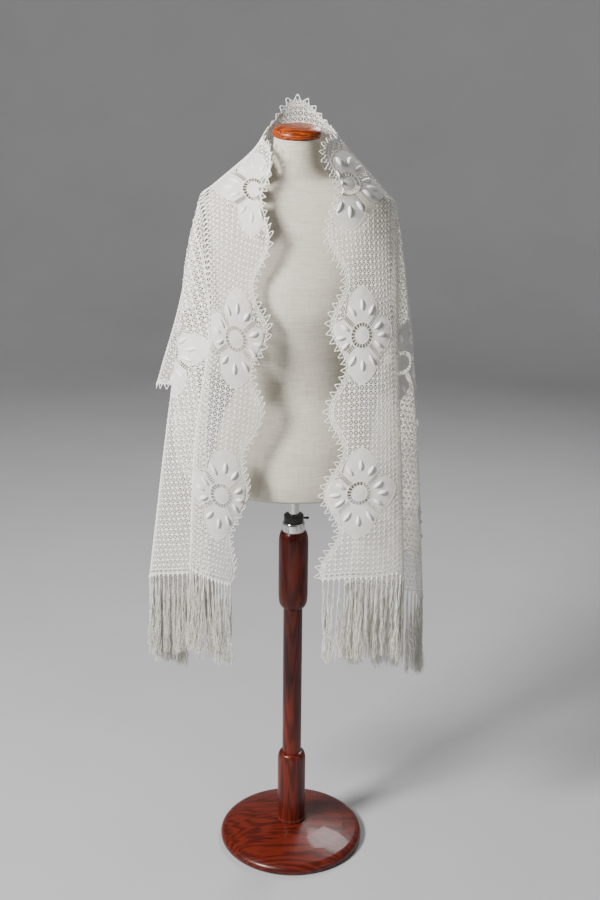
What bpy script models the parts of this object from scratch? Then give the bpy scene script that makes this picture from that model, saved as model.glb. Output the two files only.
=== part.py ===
# Ivory lace shawl on a limbless dress form with a turned wooden stand
import bpy
import bmesh
import math
import numpy as np
from mathutils import Matrix

# Clearance between neighbouring pieces, metres
GAP = 0.0003

# Shawl cut, metres
SHAWL_LENGTH = 2.11
SHAWL_WIDTH = 0.64
SHAWL_WALL = 0.0018
SHOULDER_ALONG = 0.795
NECK_ALONG = 0.97
SHOULDER_ACROSS = 0.17
FOLD_SOFTNESS = 0.05
CELLS_DOWN_FRONT = 26
CELLS_DOWN_FAN = 13
CELLS_BESIDE_NECK = 6
CELLS_FAN_HEM = 17
CELLS_FAN_EDGE = 22
CELLS_HALF_BACK = 4
RIM_PASSES = 4

# Scalloped long edges with their zigzag cord
SCALLOP_PERIOD = 0.173
SCALLOP_FIRST = 0.017
SCALLOP_DEPTH = 0.034
LOOP_HEIGHT = 0.016
LOOP_CORD_RADIUS = 0.0015
LOOP_PITCH = 0.0175
LOOP_FOOT = 0.0024
SHARPEST_LOOP_TURN = 0.75

# Fringe at both ends
FRINGE_LENGTH = 0.185
LOCK_PITCH = 0.0165
BACKING_DEPTH = 0.008
LOCK_SWAY = 0.002
HEM_GAP = 0.0008
BACKING_WALL = 0.0012
SHARPEST_TURN = 0.75

# Distances down each hanging line where the tables give its place
STATIONS = (0.0, 0.12, 0.27, 0.52, 0.82)
LONGEST_LINE = 1.0

# One row for each hanging line of the cloth, from the neck edge round to the back.
# place is metres from the shoulder point towards the neck where it is negative,
# and the angle of the fan round the shoulder point, in radians, where it is positive.
# take_up is the share of the line's length that small gathers use.
LINE_COLUMNS = ("place", "ridge_x", "ridge_z", "chest_x", "chest_y", "bust_x", "bust_y",
                "hip_x", "hip_y", "hem_x", "hem_y", "take_up")
LEFT_LINES = (
    (-0.170, -0.063, 1.622, -0.043, -0.096, -0.040, -0.124, -0.046, -0.140, -0.094, -0.142, 0.00),
    (-0.125, -0.056, 1.582, -0.056, -0.074, -0.080, -0.126, -0.084, -0.145, -0.128, -0.150, 0.00),
    (-0.060, -0.124, 1.532, -0.122, -0.090, -0.130, -0.130, -0.150, -0.152, -0.176, -0.154, 0.00),
    (0.000, -0.194, 1.4856, -0.186, -0.084, -0.178, -0.126, -0.222, -0.140, -0.248, -0.142, 0.00),
    (0.100, -0.194, 1.4856, -0.182, -0.074, -0.160, -0.102, -0.164, -0.108, -0.142, -0.106, 0.00),
    (0.330, -0.194, 1.4856, -0.222, -0.030, -0.242, -0.036, -0.280, -0.052, -0.324, -0.058, 0.03),
    (0.600, -0.194, 1.4856, -0.208, 0.002, -0.208, 0.004, -0.196, 0.012, -0.190, 0.020, 0.07),
    (0.900, -0.194, 1.4856, -0.218, 0.028, -0.238, 0.036, -0.266, 0.052, -0.280, 0.062, 0.06),
    (1.150, -0.194, 1.4856, -0.206, 0.052, -0.216, 0.070, -0.238, 0.084, -0.245, 0.090, 0.04),
    (1.300, -0.194, 1.4856, -0.217, 0.062, -0.250, 0.084, -0.318, 0.100, -0.350, 0.106, 0.02),
    (1.420, -0.194, 1.4856, -0.215, 0.074, -0.246, 0.102, -0.312, 0.136, -0.342, 0.148, 0.02),
    (1.571, -0.194, 1.4856, -0.190, 0.082, -0.190, 0.108, -0.200, 0.128, -0.205, 0.130, 0.00),
)
RIGHT_LINES = (
    (-0.170, 0.056, 1.626, 0.038, -0.092, 0.050, -0.121, 0.056, -0.138, 0.046, -0.141, 0.00),
    (-0.125, 0.078, 1.590, 0.080, -0.090, 0.095, -0.125, 0.100, -0.146, 0.090, -0.149, 0.00),
    (-0.060, 0.140, 1.535, 0.140, -0.089, 0.150, -0.128, 0.158, -0.150, 0.155, -0.153, 0.00),
    (0.000, 0.200, 1.4712, 0.196, -0.082, 0.196, -0.118, 0.206, -0.136, 0.214, -0.140, 0.00),
    (0.045, 0.200, 1.4712, 0.200, -0.078, 0.210, -0.108, 0.233, -0.124, 0.262, -0.126, 0.00),
    (0.230, 0.200, 1.4712, 0.190, -0.066, 0.176, -0.090, 0.138, -0.106, 0.088, -0.100, 0.01),
    (0.470, 0.200, 1.4712, 0.220, -0.030, 0.238, -0.032, 0.270, -0.030, 0.296, -0.022, 0.05),
    (0.720, 0.200, 1.4712, 0.206, 0.012, 0.206, 0.022, 0.196, 0.030, 0.190, 0.034, 0.07),
    (0.970, 0.200, 1.4712, 0.222, 0.040, 0.248, 0.060, 0.275, 0.080, 0.290, 0.090, 0.06),
    (1.180, 0.200, 1.4712, 0.203, 0.058, 0.206, 0.080, 0.204, 0.100, 0.206, 0.106, 0.04),
    (1.340, 0.200, 1.4712, 0.203, 0.068, 0.216, 0.096, 0.238, 0.122, 0.252, 0.130, 0.02),
    (1.450, 0.200, 1.4712, 0.200, 0.078, 0.212, 0.108, 0.234, 0.146, 0.248, 0.158, 0.02),
    (1.571, 0.200, 1.4712, 0.190, 0.085, 0.182, 0.110, 0.176, 0.130, 0.174, 0.132, 0.00),
)

# The middle of the back, from the top of the collar down
BACK_COLUMNS = ("across", "y", "z")
BACK_LINE = (
    (0.00, 0.058, 1.684),
    (0.08, 0.056, 1.604),
    (0.14, 0.070, 1.546),
    (0.19, 0.090, 1.500),
    (0.30, 0.112, 1.392),
    (0.64, 0.130, 1.053),
)

# Torso sections of the dress form, from the hem up
TORSO_COLUMNS = ("z", "half_width", "front", "back", "tilt")
TORSO_SECTIONS = (
    (0.867, 0.154, 0.104, 0.100, 0.0),
    (0.872, 0.160, 0.110, 0.106, 0.0),
    (0.920, 0.167, 0.116, 0.114, 0.0),
    (0.970, 0.166, 0.114, 0.112, 0.0),
    (1.030, 0.150, 0.103, 0.098, 0.0),
    (1.100, 0.124, 0.090, 0.082, 0.0),
    (1.150, 0.128, 0.094, 0.082, 0.0),
    (1.210, 0.144, 0.108, 0.088, 0.0),
    (1.270, 0.157, 0.122, 0.094, 0.0),
    (1.310, 0.161, 0.118, 0.096, 0.0),
    (1.360, 0.166, 0.102, 0.096, 0.0),
    (1.410, 0.174, 0.086, 0.090, 0.0),
    (1.445, 0.184, 0.074, 0.078, 0.0),
    (1.470, 0.186, 0.066, 0.070, 0.0),
    (1.4867, 0.178, 0.060, 0.064, 0.0),
    (1.500, 0.150, 0.056, 0.060, 0.0),
    (1.512, 0.104, 0.053, 0.056, 0.0),
    (1.525, 0.068, 0.050, 0.052, 3.0),
    (1.550, 0.051, 0.048, 0.048, 6.0),
    (1.603, 0.046, 0.046, 0.046, 9.0),
)
TORSO_AROUND = 32

# Stand, metres; each turned profile is radius and height above the floor
BASE_PROFILE = ((0.158, 0.0), (0.165, 0.006), (0.165, 0.017), (0.160, 0.023), (0.110, 0.034),
                (0.060, 0.042), (0.036, 0.045))
SOCKET_PROFILE = ((0.0321, 0.0), (0.0321, 0.163), (0.0300, 0.171), (0.0265, 0.178))
GRIP_PROFILE = ((0.0218, 0.0), (0.0275, 0.004), (0.0310, 0.014), (0.0327, 0.030), (0.0327, 0.158),
                (0.0312, 0.172), (0.0265, 0.182))
FERRULE_PROFILE = ((0.0249, 0.0), (0.0249, 0.017), (0.0232, 0.0200))
CLAMP_PROFILE = ((0.0203, 0.0), (0.0215, 0.0015), (0.0215, 0.0155), (0.0203, 0.0170))
CAP_PROFILE = ((0.0455, 0.0), (0.0492, 0.003), (0.0492, 0.009), (0.0468, 0.0145), (0.0380, 0.0190),
               (0.0200, 0.0215))
SOCKET_BOTTOM = 0.0453
POST_RADIUS = 0.0215
POST_TOP = 0.5860
TUBE_RADIUS = 0.0118
LEVER_REACH = 0.033
LEVER_RADIUS = 0.0032
STAND_AROUND = 24
BASE_AROUND = 40

# Colour, roughness and metallic value of each material
FINISHES = {
    "lace": ((0.86, 0.83, 0.76), 0.75, 0.0),
    "fringe": ((0.85, 0.82, 0.74), 0.65, 0.0),
    "linen": ((0.80, 0.77, 0.70), 0.90, 0.0),
    "mahogany": ((0.23, 0.07, 0.035), 0.28, 0.0),
    "cap_wood": ((0.42, 0.17, 0.06), 0.30, 0.0),
    "chrome": ((0.80, 0.80, 0.82), 0.12, 1.0),
    "black": ((0.03, 0.03, 0.03), 0.45, 0.0),
}


def clear_scene():
    for item in list(bpy.data.objects):
        bpy.data.objects.remove(item, do_unlink=True)


def finish(name):
    """The named Principled material, made once."""
    if name in bpy.data.materials:
        return bpy.data.materials[name]
    colour, roughness, metallic = FINISHES[name]
    material = bpy.data.materials.new(name)
    material.use_nodes = True
    shader = material.node_tree.nodes["Principled BSDF"]
    shader.inputs["Base Color"].default_value = (*colour, 1.0)
    shader.inputs["Roughness"].default_value = roughness
    shader.inputs["Metallic"].default_value = metallic
    return material


def mesh_object(name, points, faces, material):
    mesh = bpy.data.meshes.new(name)
    mesh.from_pydata([tuple(float(value) for value in point) for point in points], [], faces)
    mesh.validate()
    mesh.materials.append(finish(material))
    item = bpy.data.objects.new(name, mesh)
    bpy.context.scene.collection.objects.link(item)
    face_outwards(mesh)
    mesh.shade_smooth()
    mesh.set_sharp_from_angle(angle=math.radians(35.0))
    return item


def face_outwards(mesh):
    """Turns every face of a closed mesh to point out."""
    work = bmesh.new()
    work.from_mesh(mesh)
    bmesh.ops.recalc_face_normals(work, faces=work.faces)
    if work.calc_volume(signed=True) < 0.0:
        bmesh.ops.reverse_faces(work, faces=work.faces)
    work.to_mesh(mesh)
    work.free()


def rings_object(name, rings, material):
    """Closed solid through rings of equal count, with a flat cap at each end."""
    count = len(rings[0])
    points = [point for ring in rings for point in ring]
    faces = []
    for level in range(len(rings) - 1):
        low = level * count
        high = low + count
        for index in range(count):
            after = (index + 1) % count
            faces.append((low + index, low + after, high + after, high + index))
    faces.append(tuple(range(count))[::-1])
    faces.append(tuple(range(len(points) - count, len(points))))
    return mesh_object(name, points, faces, material)


def turned(name, profile, bottom, material, around=STAND_AROUND):
    rings = []
    for radius, height in profile:
        angles = [2.0 * math.pi * index / around for index in range(around)]
        rings.append([(radius * math.cos(angle), radius * math.sin(angle), bottom + height)
                      for angle in angles])
    return rings_object(name, rings, material)


def make_torso():
    """Padded torso: rings through the section table, its neck cut at the cap's tilt."""
    rings = []
    for height, half_width, front, back, tilt in TORSO_SECTIONS:
        ring = []
        for index in range(TORSO_AROUND):
            angle = 2.0 * math.pi * index / TORSO_AROUND
            depth = back if math.sin(angle) > 0.0 else front
            x = half_width * math.cos(angle)
            y = depth * math.sin(angle)
            ring.append((x, y, height + y * math.tan(math.radians(tilt))))
        rings.append(ring)
    return rings_object("torso", rings, "linen")


def make_neck_cap():
    """Turned wooden cap, tilted forward with the neck's top."""
    cap = turned("neck_cap", CAP_PROFILE, 0.0, "cap_wood", around=32)
    height = TORSO_SECTIONS[-1][0]
    tilt = math.radians(TORSO_SECTIONS[-1][4])
    lift = Matrix.Translation((0.0, 0.0, GAP / math.cos(tilt)))
    cap.matrix_world = Matrix.Translation((0.0, 0.0, height)) @ Matrix.Rotation(tilt, 4, "X") @ lift
    return cap


def make_stand():
    turned("base", BASE_PROFILE, 0.0, "mahogany", around=BASE_AROUND)
    turned("post_socket", SOCKET_PROFILE, SOCKET_BOTTOM, "mahogany")
    socket_top = SOCKET_BOTTOM + SOCKET_PROFILE[-1][1]
    post_bottom = socket_top + GAP
    post = ((POST_RADIUS, 0.0), (POST_RADIUS, POST_TOP - post_bottom))
    turned("post", post, post_bottom, "mahogany")
    grip_bottom = POST_TOP + GAP
    turned("grip", GRIP_PROFILE, grip_bottom, "mahogany")
    ferrule_bottom = grip_bottom + GRIP_PROFILE[-1][1] + GAP
    turned("ferrule", FERRULE_PROFILE, ferrule_bottom, "chrome")
    clamp_bottom = ferrule_bottom + FERRULE_PROFILE[-1][1] + GAP
    turned("clamp", CLAMP_PROFILE, clamp_bottom, "black")
    clamp_top = clamp_bottom + CLAMP_PROFILE[-1][1]
    tube_bottom = clamp_top + GAP
    tube_top = TORSO_SECTIONS[0][0] - GAP
    turned("tube", ((TUBE_RADIUS, 0.0), (TUBE_RADIUS, tube_top - tube_bottom)), tube_bottom, "chrome")
    make_lever(0.5 * (clamp_bottom + clamp_top))


def make_lever(height):
    """Small clamp lever that points to the side."""
    start = CLAMP_PROFILE[1][0] + GAP
    profile = ((LEVER_RADIUS * 0.8, 0.0), (LEVER_RADIUS * 0.7, 0.004), (LEVER_RADIUS, 0.007),
               (LEVER_RADIUS * 0.75, LEVER_REACH - start))
    lever = turned("clamp_lever", profile, start, "black", around=10)
    lever.matrix_world = Matrix.Translation((0.0, 0.0, height)) @ Matrix.Rotation(math.pi / 2.0, 4, "Y")


def softened_row(rows, place):
    """Table row at a place, with each fold rounded by the mean of the rows about it."""
    places = rows[:, 0]
    reach = min(FOLD_SOFTNESS, place - places[0], places[-1] - place)
    samples = place + reach * np.linspace(-1.0, 1.0, 9)
    return [float(np.mean(np.interp(samples, places, rows[:, column])))
            for column in range(1, rows.shape[1])]


def smooth_run(values, distances):
    """Cubic curve through the station values, read at the given distances."""
    knots = np.array(STATIONS)
    chords = np.diff(values) / np.diff(knots)
    spans = np.diff(knots)
    slopes = np.empty(len(knots))
    slopes[1:-1] = (chords[:-1] * spans[1:] + chords[1:] * spans[:-1]) / (spans[1:] + spans[:-1])
    slopes[0] = 2.0 * chords[0] - slopes[1]
    slopes[-1] = chords[-1]
    result = []
    for distance in distances:
        if distance >= knots[-1]:
            result.append(values[-1] + slopes[-1] * (distance - knots[-1]))
            continue
        index = int(np.searchsorted(knots, distance, side="right")) - 1
        span = spans[index]
        part = (distance - knots[index]) / span
        result.append(values[index] * (1 + 2 * part) * (1 - part) ** 2
                      + slopes[index] * span * part * (1 - part) ** 2
                      + values[index + 1] * part ** 2 * (3 - 2 * part)
                      + slopes[index + 1] * span * part ** 2 * (part - 1))
    return np.array(result)


class HangingSide:
    """One half of the shawl: lines that fall from the shoulder, worked out on a fine grid."""

    def __init__(self, table):
        rows = np.array(table)
        self.places = np.linspace(rows[0, 0], rows[-1, 0], 201)
        self.distances = np.linspace(0.0, LONGEST_LINE, 193)
        step = self.distances[1] - self.distances[0]
        self.grid = np.empty((len(self.places), len(self.distances), 3))
        for index, place in enumerate(self.places):
            row = softened_row(rows, place)
            x = smooth_run(np.array([row[0], row[2], row[4], row[6], row[8]]), self.distances)
            y = smooth_run(np.array([0.0, row[3], row[5], row[7], row[9]]), self.distances)
            slope = np.clip(np.hypot(np.gradient(x, step), np.gradient(y, step)), 0.0, 0.98)
            fall = np.sqrt(1.0 - slope ** 2) * (1.0 - row[10])
            drop = np.concatenate(([0.0], np.cumsum(0.5 * (fall[1:] + fall[:-1]) * step)))
            self.grid[index, :, 0] = x
            self.grid[index, :, 1] = y
            self.grid[index, :, 2] = row[1] - drop

    def read(self, place, distance):
        """Bilinear reading of the fine grid."""
        i = np.clip((place - self.places[0]) / (self.places[1] - self.places[0]), 0, 199.999)
        j = np.clip(distance / self.distances[1], 0, 191.999)
        a, b = int(i), int(j)
        p, q = i - a, j - b
        low = self.grid[a, b] * (1 - p) + self.grid[a + 1, b] * p
        high = self.grid[a, b + 1] * (1 - p) + self.grid[a + 1, b + 1] * p
        return low * (1 - q) + high * q

    def back_point(self, part, across):
        """Point behind the shoulder line, part of the way to the middle of the back."""
        if across < SHOULDER_ACROSS:
            start = self.read(across - SHOULDER_ACROSS, 0.0)
        else:
            start = self.read(math.pi / 2.0, across - SHOULDER_ACROSS)
        table = np.array(BACK_LINE)
        end_y = np.interp(across, table[:, 0], table[:, 1])
        end_z = np.interp(across, table[:, 0], table[:, 2])
        below = min(max((across - SHOULDER_ACROSS) / 0.12, 0.0), 1.0)
        turn = 0.5 * math.pi * part
        x = start[0] * ((1.0 - below) * math.cos(turn) + below * (1.0 - part))
        y = start[1] + (end_y - start[1]) * math.sin(turn)
        level = part * part * (3.0 - 2.0 * part)
        z = start[2] + (end_z - start[2]) * (below * level + (1.0 - below) * math.sin(turn))
        return np.array((x, y, z))


def ridge_along(across):
    """Distance from the end of the cloth to the shoulder line."""
    if across >= SHOULDER_ACROSS:
        return SHOULDER_ALONG
    return NECK_ALONG + (SHOULDER_ALONG - NECK_ALONG) * across / SHOULDER_ACROSS


def scallop(along):
    """Depth of the scalloped edge, nought at the top of each scallop."""
    turn = 2.0 * math.pi * (along - SCALLOP_FIRST) / SCALLOP_PERIOD
    return SCALLOP_DEPTH * 0.5 * (1.0 - math.cos(turn))


def fan_angles():
    """Angles of the hanging lines in the fan, first those that end on the hem."""
    corner = SHAWL_WIDTH - rim_depth(0.0) - SHOULDER_ACROSS
    angles = [math.atan2(corner * index / CELLS_FAN_HEM, SHOULDER_ALONG)
              for index in range(CELLS_FAN_HEM + 1)]
    for index in range(1, CELLS_FAN_EDGE + 1):
        along = SHOULDER_ALONG * index / CELLS_FAN_EDGE
        aside = SHAWL_WIDTH - rim_depth(along) - SHOULDER_ACROSS
        angles.append(math.atan2(aside, SHOULDER_ALONG - along))
    return angles


def fan_reach(index, angle):
    """Length of a fan line, to the hem or to the scalloped edge."""
    if index <= CELLS_FAN_HEM:
        return SHOULDER_ALONG / math.cos(angle)
    along = SHOULDER_ALONG * (index - CELLS_FAN_HEM) / CELLS_FAN_EDGE
    return (SHAWL_WIDTH - rim_depth(along) - SHOULDER_ACROSS) / math.sin(angle)


def rim_depth(along):
    """How far the dense cloth's rim lies inside the line of the loops' tips."""
    return LOOP_HEIGHT + scallop(along)


def neck_across(part, along):
    """Distance across the cloth, part of the way from the neck rim to the shoulder line."""
    rim = rim_depth(along)
    return rim + part * (SHOULDER_ACROSS - rim)


class ClothMesh:
    """Middle surface of the shawl: shared points and the triangles of each stretch."""

    def __init__(self):
        self.points = []
        self.triangles = {}
        self.rims = {}
        self.seams = []

    def add(self, point):
        self.points.append(np.array(point))
        return len(self.points) - 1

    def fill(self, name, low, high, flip):
        """Triangles between two rows of points of equal count."""
        for index in range(len(low) - 1):
            quad = (low[index], low[index + 1], high[index + 1], high[index])
            for triangle in halves(self.points, quad):
                self.add_triangle(name, triangle, flip)

    def add_triangle(self, name, triangle, flip):
        if len(set(triangle)) == 3:
            ordered = triangle[::-1] if flip else triangle
            self.triangles.setdefault(name, []).append(ordered)


def add_front(cloth, name, side, flip):
    """One front: straight columns beside the neck, then the fan round the shoulder point."""
    columns = []
    for column in range(CELLS_BESIDE_NECK + 1):
        part = column / CELLS_BESIDE_NECK
        line = []
        for row in range(CELLS_DOWN_FRONT + 1):
            share = row / CELLS_DOWN_FRONT
            across = part * SHOULDER_ACROSS
            for _ in range(RIM_PASSES):
                ridge = ridge_along(across)
                across = neck_across(part, share * ridge)
            line.append(cloth.add(side.read(across - SHOULDER_ACROSS, (1.0 - share) * ridge)))
        columns.append(line)
    for low, high in zip(columns[:-1], columns[1:]):
        cloth.fill(name, low, high, flip)
    peak = columns[-1][-1]
    ratio = CELLS_DOWN_FRONT // CELLS_DOWN_FAN
    crease = columns[-1][::-1]
    fan = [crease[::ratio]]
    for index, angle in list(enumerate(fan_angles()))[1:]:
        reach = fan_reach(index, angle)
        line = [cloth.add(side.read(angle, reach * row / CELLS_DOWN_FAN))
                for row in range(1, CELLS_DOWN_FAN + 1)]
        fan.append([peak] + line)
    for row in range(CELLS_DOWN_FAN):
        steps = crease[row * ratio:(row + 1) * ratio + 1]
        top, bottom = fan[1][row], fan[1][row + 1]
        for start, end in zip(steps[:-1], steps[1:]):
            cloth.add_triangle(name, (bottom if end == steps[-1] else top, start, end), not flip)
        cloth.add_triangle(name, (top, steps[-2], bottom), not flip)
    for low, high in zip(fan[1:-1], fan[2:]):
        cloth.fill(name, low, high, not flip)
    cloth.rims[name] = {
        "neck": [(line, inside) for line, inside in zip(columns[0], columns[1])],
        "hem": ([(line[0], line[1]) for line in columns]
                + [(line[-1], line[-2]) for line in fan[1:CELLS_FAN_HEM + 1]]),
        "outer": [(line[-1], line[-2]) for line in fan[CELLS_FAN_HEM:]],
        "seam": [line[-1] for line in columns] + fan[-1][1:],
    }


def add_back(cloth, name, left, right, left_side, right_side):
    """The stretch between the shoulder lines, row by row from left to right."""
    rows = [left]
    count = 2 * CELLS_HALF_BACK
    for step in range(1, count):
        part = min(step, count - step) / CELLS_HALF_BACK
        side = left_side if 2 * step <= count else right_side
        row = []
        for column in range(CELLS_BESIDE_NECK):
            share = column / CELLS_BESIDE_NECK
            across = share * SHOULDER_ACROSS
            for _ in range(RIM_PASSES):
                ridge = ridge_along(across)
                across = neck_across(share, ridge + part * (0.5 * SHAWL_LENGTH - ridge))
            row.append(cloth.add(side.back_point(part, across)))
        along = SHOULDER_ALONG + part * (0.5 * SHAWL_LENGTH - SHOULDER_ALONG)
        span = SHAWL_WIDTH - rim_depth(along) - SHOULDER_ACROSS
        for line in range(CELLS_DOWN_FAN + 1):
            row.append(cloth.add(side.back_point(part, SHOULDER_ACROSS + span * line / CELLS_DOWN_FAN)))
        rows.append(row)
    rows.append(right)
    for low, high in zip(rows[:-1], rows[1:]):
        cloth.fill(name, low, high, False)
    cloth.seams = [("shawl_left_front", rows[0], rows[1]), ("shawl_right_front", rows[-1], rows[-2])]
    cloth.rims[name] = {
        "neck": [(row[0], row[1]) for row in rows],
        "outer": [(row[-1], row[-2]) for row in rows],
    }


def make_cloth_mesh():
    left_side = HangingSide(LEFT_LINES)
    right_side = HangingSide(RIGHT_LINES)
    cloth = ClothMesh()
    add_front(cloth, "shawl_left_front", left_side, True)
    add_front(cloth, "shawl_right_front", right_side, False)
    left = cloth.rims["shawl_left_front"]["seam"]
    right = cloth.rims["shawl_right_front"]["seam"]
    add_back(cloth, "shawl_back", left, right, left_side, right_side)
    cloth.points = np.array(cloth.points)
    return cloth


def point_normals(cloth):
    """Normals at the points, from all the triangles that meet there."""
    normals = np.zeros_like(cloth.points)
    for triangles in cloth.triangles.values():
        for a, b, c in triangles:
            face = np.cross(cloth.points[b] - cloth.points[a], cloth.points[c] - cloth.points[a])
            for index in (a, b, c):
                normals[index] += face
    return unit_rows(normals)


def halves(points, quad):
    """Two triangles of a quad, cut along its shorter diagonal."""
    a, b, c, d = quad
    if np.linalg.norm(points[a] - points[c]) <= np.linalg.norm(points[b] - points[d]):
        return (a, b, c), (a, c, d)
    return (a, b, d), (b, c, d)


def wall_object(name, cloth, normals, material):
    """Closed wall of the cloth's thickness about one stretch, drawn back from its seams."""
    triangles = cloth.triangles[name]
    used = sorted({index for triangle in triangles for index in triangle})
    place = {index: spot for spot, index in enumerate(used)}
    middle = drawn_back(cloth, name, normals)[used]
    outer = middle + normals[used] * SHAWL_WALL / 2.0
    inner = middle - normals[used] * SHAWL_WALL / 2.0
    shift = len(used)
    faces = []
    edges = set()
    for triangle in triangles:
        spots = [place[index] for index in triangle]
        faces.append(tuple(spots))
        faces.append(tuple(spot + shift for spot in spots[::-1]))
        edges.update(zip(spots, spots[1:] + spots[:1]))
    for start, end in sorted(edges):
        if (end, start) not in edges:
            faces += side_faces(start, end, shift)
    return mesh_object(name, np.concatenate((outer, inner)), faces, material)


def side_faces(start, end, shift):
    """Two triangles of the wall's rim, cut the same way on both sides of a seam."""
    low, high = sorted((start, end))
    return [(low, high, high + shift), (low, high + shift, low + shift)]


def drawn_back(cloth, name, normals):
    """The points, with those on a seam moved half a gap square to it, into this stretch."""
    points = cloth.points.copy()
    for front, seam, next_row in cloth.seams:
        if name not in (front, "shawl_back"):
            continue
        run = np.gradient(cloth.points[seam], axis=0)
        square = unit_rows(np.cross(run, normals[seam])) * GAP / 2.0
        to_back = cloth.points[next_row] - cloth.points[seam]
        square *= np.sign(np.sum(square * to_back, axis=1, keepdims=True))
        points[seam] += square if name == "shawl_back" else -square
    return points


def strand_object(name, path, normals, radius, material):
    """Three-sided cord along a path, one corner of it up along the surface normal."""
    tangents = np.gradient(path, axis=0)
    tangents /= np.linalg.norm(tangents, axis=1, keepdims=True)
    rings = []
    for point, tangent, normal in zip(path, tangents, normals):
        upright = normal - tangent * np.dot(normal, tangent)
        upright /= np.linalg.norm(upright)
        aside = np.cross(tangent, upright)
        rings.append([point + radius * (math.cos(angle) * upright + math.sin(angle) * aside)
                      for angle in (0.0, 2.0 * math.pi / 3.0, 4.0 * math.pi / 3.0)])
    return rings_object(name, rings, material)


def make_edging(name, rim_rows, cloth, normals):
    """Zigzag cord that stands just off one long edge of the cloth."""
    rim = cloth.points[[row[0] for row in rim_rows]]
    rim_normals = normals[[row[0] for row in rim_rows]]
    outward = square_to_rim(rim, cloth.points[[row[1] for row in rim_rows]])
    path = []
    path_normals = []
    course = unit_rows(np.diff(rim, axis=0))
    turns = [1.0] + [float(np.dot(course[i], course[i + 1])) for i in range(len(course) - 1)] + [1.0]
    for row in range(len(rim) - 1):
        loops = int(np.linalg.norm(rim[row + 1] - rim[row]) / LOOP_PITCH + 0.3)
        if loops == 0 or min(turns[row], turns[row + 1]) < SHARPEST_LOOP_TURN:
            loops = 0
            path.append(rim[row] + outward[row] * LOOP_FOOT)
            path_normals.append(rim_normals[row])
        for step in range(2 * loops):
            part = step / (2 * loops)
            away = LOOP_FOOT if step % 2 == 0 else LOOP_HEIGHT - LOOP_CORD_RADIUS
            direction = outward[row] * (1 - part) + outward[row + 1] * part
            direction /= np.linalg.norm(direction)
            path.append(rim[row] * (1 - part) + rim[row + 1] * part + direction * away)
            path_normals.append(rim_normals[row] * (1 - part) + rim_normals[row + 1] * part)
    path.append(rim[-1] + outward[-1] * LOOP_FOOT)
    path_normals.append(rim_normals[-1])
    strand_object(name, np.array(path), np.array(path_normals), LOOP_CORD_RADIUS, "lace")


def make_fringe(name, hem, normals, down):
    """Backing strip just below the hem with a lock of threads under every second cell."""
    spots = [0.0]
    for index, step in enumerate(np.linalg.norm(np.diff(hem, axis=0), axis=1)):
        count = max(1, int(2.0 * step / LOCK_PITCH + 0.5))
        spots += [index + (number + 1) / count for number in range(count)]
    cells = len(spots) - 1
    indices = np.arange(len(hem))
    top = read_rows(spots, indices, hem)
    across = unit_rows(read_rows(spots, indices, normals))
    fall = unit_rows(read_rows(spots, indices, down))
    half = across * BACKING_WALL / 2.0
    course = unit_rows(np.diff(top, axis=0))
    bends = [float(np.dot(course[max(i - 1, 0)], course[min(i + 1, cells - 1)])) for i in range(cells)]
    locked = [i % 2 == 1 and bends[i] > SHARPEST_TURN for i in range(cells)]
    upper = top + fall * HEM_GAP
    lower = upper + np.array((0.0, 0.0, -BACKING_DEPTH))
    sections = [(upper[i] + half[i], upper[i] - half[i], lower[i] - half[i], lower[i] + half[i])
                for i in range(cells + 1)]
    points = [corner for section in sections for corner in section]
    faces = [(0, 1, 2, 3), tuple(4 * cells + corner for corner in (3, 2, 1, 0))]
    for cell in range(cells):
        a = 4 * cell
        b = a + 4
        for side in range(4):
            if side == 2 and locked[cell]:
                continue
            after = (side + 1) % 4
            faces.append((a + side, a + after, b + after, b + side))
        if locked[cell]:
            add_lock(points, faces, (a + 2, a + 3, b + 3, b + 2), cell)
    return mesh_object(name, points, faces, "fringe")


def add_lock(points, faces, root, number):
    """Four-sided lock that hangs from one face of the backing and tapers to a point."""
    corners = [np.array(points[index]) for index in root]
    centre = sum(corners) / 4.0
    previous = root
    for part, width in ((0.12, 0.60), (0.55, 0.75)):
        sway = LOCK_SWAY * part * np.array((math.sin(2.1 * number), math.cos(3.7 * number), 0.0))
        level = centre + np.array((0.0, 0.0, -FRINGE_LENGTH * part)) + sway
        ring = tuple(range(len(points), len(points) + 4))
        points.extend(level + (corner - centre) * width for corner in corners)
        for side in range(4):
            after = (side + 1) % 4
            faces.append((previous[side], previous[after], ring[after], ring[side]))
        previous = ring
    length = FRINGE_LENGTH * (0.93 + 0.07 * math.sin(5.3 * number))
    tip = len(points)
    points.append(centre + np.array((0.0, 0.0, -length)))
    for side in range(4):
        faces.append((previous[side], previous[(side + 1) % 4], tip))


def read_rows(spots, indices, rows):
    """Rows of points or directions read at places between their indices."""
    return np.stack([np.interp(spots, indices, rows[:, axis]) for axis in range(3)], axis=1)


def unit_rows(rows):
    return rows / np.linalg.norm(rows, axis=1, keepdims=True)


def square_to_rim(rim, inside):
    """Unit directions out of the cloth at its rim, square to the rim's run."""
    outward = rim - inside
    run = unit_rows(np.gradient(rim, axis=0))
    return unit_rows(outward - run * np.sum(outward * run, axis=1, keepdims=True))


def whole_rim(cloth, edge):
    """Rim of one long edge, from the left hem round the back to the right hem."""
    left = cloth.rims["shawl_left_front"][edge]
    back = cloth.rims["shawl_back"][edge][1:-1]
    right = cloth.rims["shawl_right_front"][edge]
    return left + back + right[::-1]


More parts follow.
